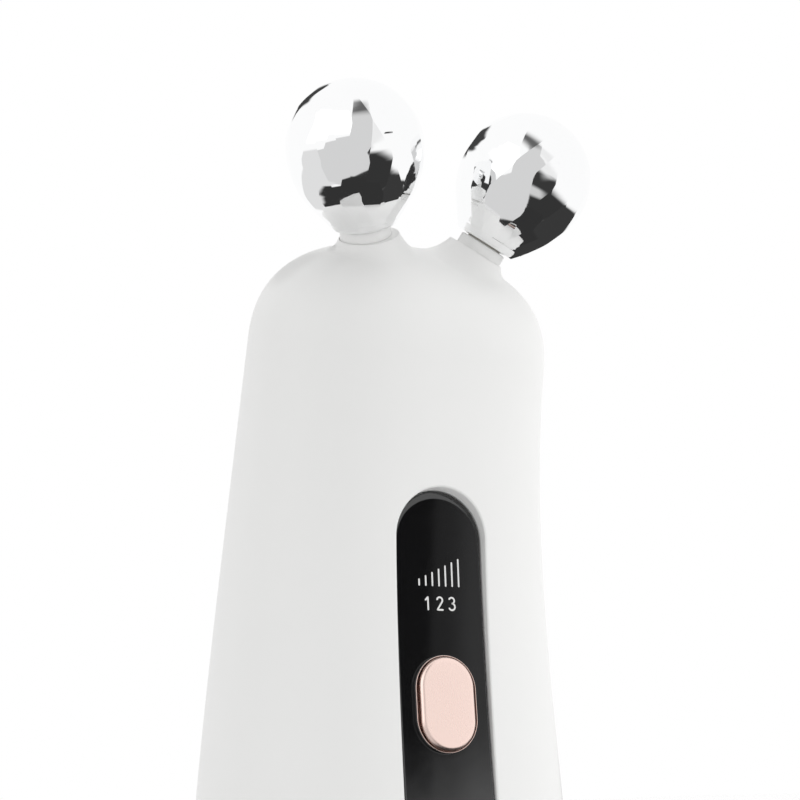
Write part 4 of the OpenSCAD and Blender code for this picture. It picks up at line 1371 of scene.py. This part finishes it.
# ---------------------------------------------------------------------------
# Stage
# ---------------------------------------------------------------------------
# The camera's place in millimetres, and the directions of its right side, top and back
CAMERA_PLACE = (-98.000, -204.011, 49.347)
CAMERA_AXES = ((0.89486, -0.44589, -0.02018), (-0.09327, -0.23102, 0.96847),
               (-0.43649, -0.86476, -0.24832))

# Cards that only reflections see, each a convex outline of directions, by their azimuth from the
# front towards the right and their elevation in degrees, the softness of its edges, and its
# brightness. A later card hides the ones before it.
CARDS = [
    ([(-8, -30), (20, -25), (44, -28.5), (72, -31), (80, -60), (20, -75), (-30, -66)], 0.14, 0.034),
    ([(-7, -19), (11, -12), (17, -24), (8, -36), (-10, -36)], 0.1, 0.04),
    ([(66, -33), (72, -30), (92, -17), (110, -7), (130, 1), (146, 2), (160, -30), (150, -60),
      (80, -65)], 0.08, 0.04),
    ([(-62, -10), (-28, -38), (-30, -66), (-92, -69), (-114, -12)], 0.03, 0.66),
    ([(-32, 18), (-16, 47), (2, 34), (3, -6), (-2, -28), (-9, -48), (-25, -66), (-34, -30)],
     0.03, 0.66),
    ([(-8, -31), (5, -31), (4, -42), (-10, -44)], 0.1, 0.62),
    ([(-30, 4), (-66, -10), (-60, -66), (-25, -66)], 0.03, 0.66),
    ([(-38, 4), (-40, 34), (-100, 40), (-104, 0)], 0.08, 1.3),
    ([(-100, -8), (-98, -58), (-165, -38), (-178, -10)], 0.05, 0.75),
    ([(2, 36), (14, 30), (16, -14), (6, -20)], 0.12, 0.86),
    ([(-24, -60), (-110, -59), (-130, -46), (-172, -38), (140, -30), (60, -60)], 0.04, 0.032),
    ([(25.6, 10.9), (31.6, 10.9), (31.6, 8.65), (25.6, 8.97)], 0.006, 0.34),
    ([(25.6, 10.9), (29.2, 10.9), (29.2, 8.79), (25.6, 8.97)], 0.02, 0.15),
    ([(25.6, 10.9), (28.05, 10.9), (28.05, 8.85), (25.6, 8.97)], 0.004, 0.02),
    ([(-24, 58), (-4, 58), (-2, 32), (-22, 32)], 0.2, 0.13),
    ([(163, 34), (170, 50), (-175, 54), (-156, 48), (-157, 41), (-176, 33), (170, 30)], 0.05, 0.05),
]


def direction_of(azimuth, elevation):
    """A direction from the middle, its angles in degrees."""
    a, e = math.radians(azimuth), math.radians(elevation)
    return Vector((math.sin(a) * math.cos(e), -math.cos(a) * math.cos(e), math.sin(e)))


def studio_world(stage):
    """White to the camera, the cards to reflections and an even fill to everything else."""
    world = bpy.data.worlds.new("Studio")
    bpy.context.scene.world = world
    w = emptied(world)
    path = w.node("LightPath").outputs
    direction = w.node("TexCoord").outputs["Generated"]
    white = (1, 1, 1, 1)
    mirrored = white
    for corners, softness, brightness in CARDS:
        points = [direction_of(*corner) for corner in corners]
        middle = sum(points, Vector())
        mask = 1.0
        for p, q in zip(points, points[1:] + points[:1]):
            inward_way = p.cross(q).normalized()
            if inward_way.dot(middle) < 0:
                inward_way.negate()
            edge = w.shared("Card edge", direction=direction, inward=inward_way, softness=softness)
            mask = w.times(edge["Mask"], mask)
        mirrored = w.mix(mask, mirrored, (brightness, brightness, brightness, 1))
    lit = w.mix(path["Is Glossy Ray"], (stage.fill, stage.fill, stage.fill, 1), mirrored)
    lit = w.mix(path["Is Camera Ray"], lit, white)
    background = w.node("Background", {"Color": lit, "Strength": 1.0})
    w.node("OutputWorld", {"Surface": background.outputs["Background"]})


def lamp(name, place, aim, size, watts):
    """A square lamp that neither the camera nor a reflection sees."""
    light = bpy.data.lights.new(name, "AREA")
    light.shape, light.size, light.energy = "SQUARE", size, watts
    obj = linked(name, light)
    obj.location = place
    obj.rotation_mode = "QUATERNION"
    obj.rotation_quaternion = (Vector(aim) - Vector(place)).to_track_quat("-Z", "Y")
    obj.visible_camera = obj.visible_glossy = False


def floor_paint():
    """Matt pale paint that the camera sees a little lighter than the light falls on it."""
    paint = bpy.data.materials.new("Pale studio floor")
    w = emptied(paint)
    tone = w.shared("Tone drift", colour=(0.9, 0.9, 0.9, 1), shift=0.01, scale=6.0)["Colour"]
    matt = w.node("BsdfPrincipled", {"Base Color": tone, "Roughness": 0.7,
                                     "Specular IOR Level": 0.1})
    glow = w.node("Emission", {"Color": (1, 1, 1, 1), "Strength": 0.3})
    both = w.node("AddShader", {0: matt.outputs[0], 1: glow.outputs[0]})
    seen = w.node("MixShader", {0: w.node("LightPath").outputs["Is Camera Ray"],
                                1: matt.outputs[0], 2: both.outputs[0]})
    w.node("OutputMaterial", {"Surface": seen.outputs[0]})
    return paint


class TONING_OT_stage(bpy.types.Operator):
    """Sets the pale floor, the studio's soft light and the camera"""

    bl_idname = "toning.stage"
    bl_label = "Stage"

    def execute(self, context):
        stage, scene = settings(context).stage, context.scene
        half = stage.floor_size / 2
        mesh = bpy.data.meshes.new("floor")
        mesh.from_pydata([(-half, -half, 0), (half, -half, 0), (half, half, 0), (-half, half, 0)],
                         [], [(0, 1, 2, 3)])
        mesh.materials.append(floor_paint())
        floor = linked("floor", mesh)
        floor.visible_glossy = False

        studio_world(stage)
        lamp("key_lamp", (0.62, -0.30, 0.42), (0, 0, 0.08), 0.5, stage.key)
        lamp("side_lamp", (-0.70, -0.05, 0.30), (0, 0, 0.08), 0.5, stage.side)
        lamp("top_lamp", (0.0, -0.10, 0.62), (0, -0.01, 0.12), 0.4, stage.top)

        camera = linked("camera", bpy.data.cameras.new("camera"))
        camera.data.sensor_width, camera.data.lens = 36, stage.lens
        camera.data.clip_start = 0.01
        camera.matrix_world = (Matrix.Translation(Vector(CAMERA_PLACE) * MM)
                               @ Matrix(CAMERA_AXES).transposed().to_4x4())
        scene.camera = camera
        scene.view_settings.view_transform = "Standard"
        return {"FINISHED"}


class TONING_PT_panel(bpy.types.Panel):
    """Lists the device's sizes and the operators that make its pieces"""

    bl_label = "Toning device"
    bl_idname = "TONING_PT_panel"
    bl_space_type = "VIEW_3D"
    bl_region_type = "UI"
    bl_category = "Toning device"

    def draw(self, context):
        device = settings(context)
        for title in property_names(device):
            group, box = getattr(device, title), self.layout.box()
            for name in property_names(group):
                box.prop(group, name)
        for operator in OPERATORS:
            self.layout.operator(operator.bl_idname)


OPERATORS = [TONING_OT_shell, TONING_OT_balls, TONING_OT_collars, TONING_OT_panel, TONING_OT_button,
             TONING_OT_marks, TONING_OT_fittings, TONING_OT_stage]
CLASSES = [BodySizes, RollerSizes, PanelSizes, FinishColours, StageSettings, ToningDeviceSettings,
           *OPERATORS, TONING_PT_panel]


def register():
    for kind in CLASSES:
        bpy.utils.register_class(kind)
    bpy.types.Scene.toning_device = PointerProperty(type=ToningDeviceSettings)


def unregister():
    del bpy.types.Scene.toning_device
    for kind in reversed(CLASSES):
        bpy.utils.unregister_class(kind)


def main():
    register()
    toning = bpy.ops.toning
    for make in (toning.shell, toning.balls, toning.collars, toning.panel, toning.button,
                 toning.marks, toning.fittings, toning.stage):
        make()


if __name__ == "__main__":
    main()
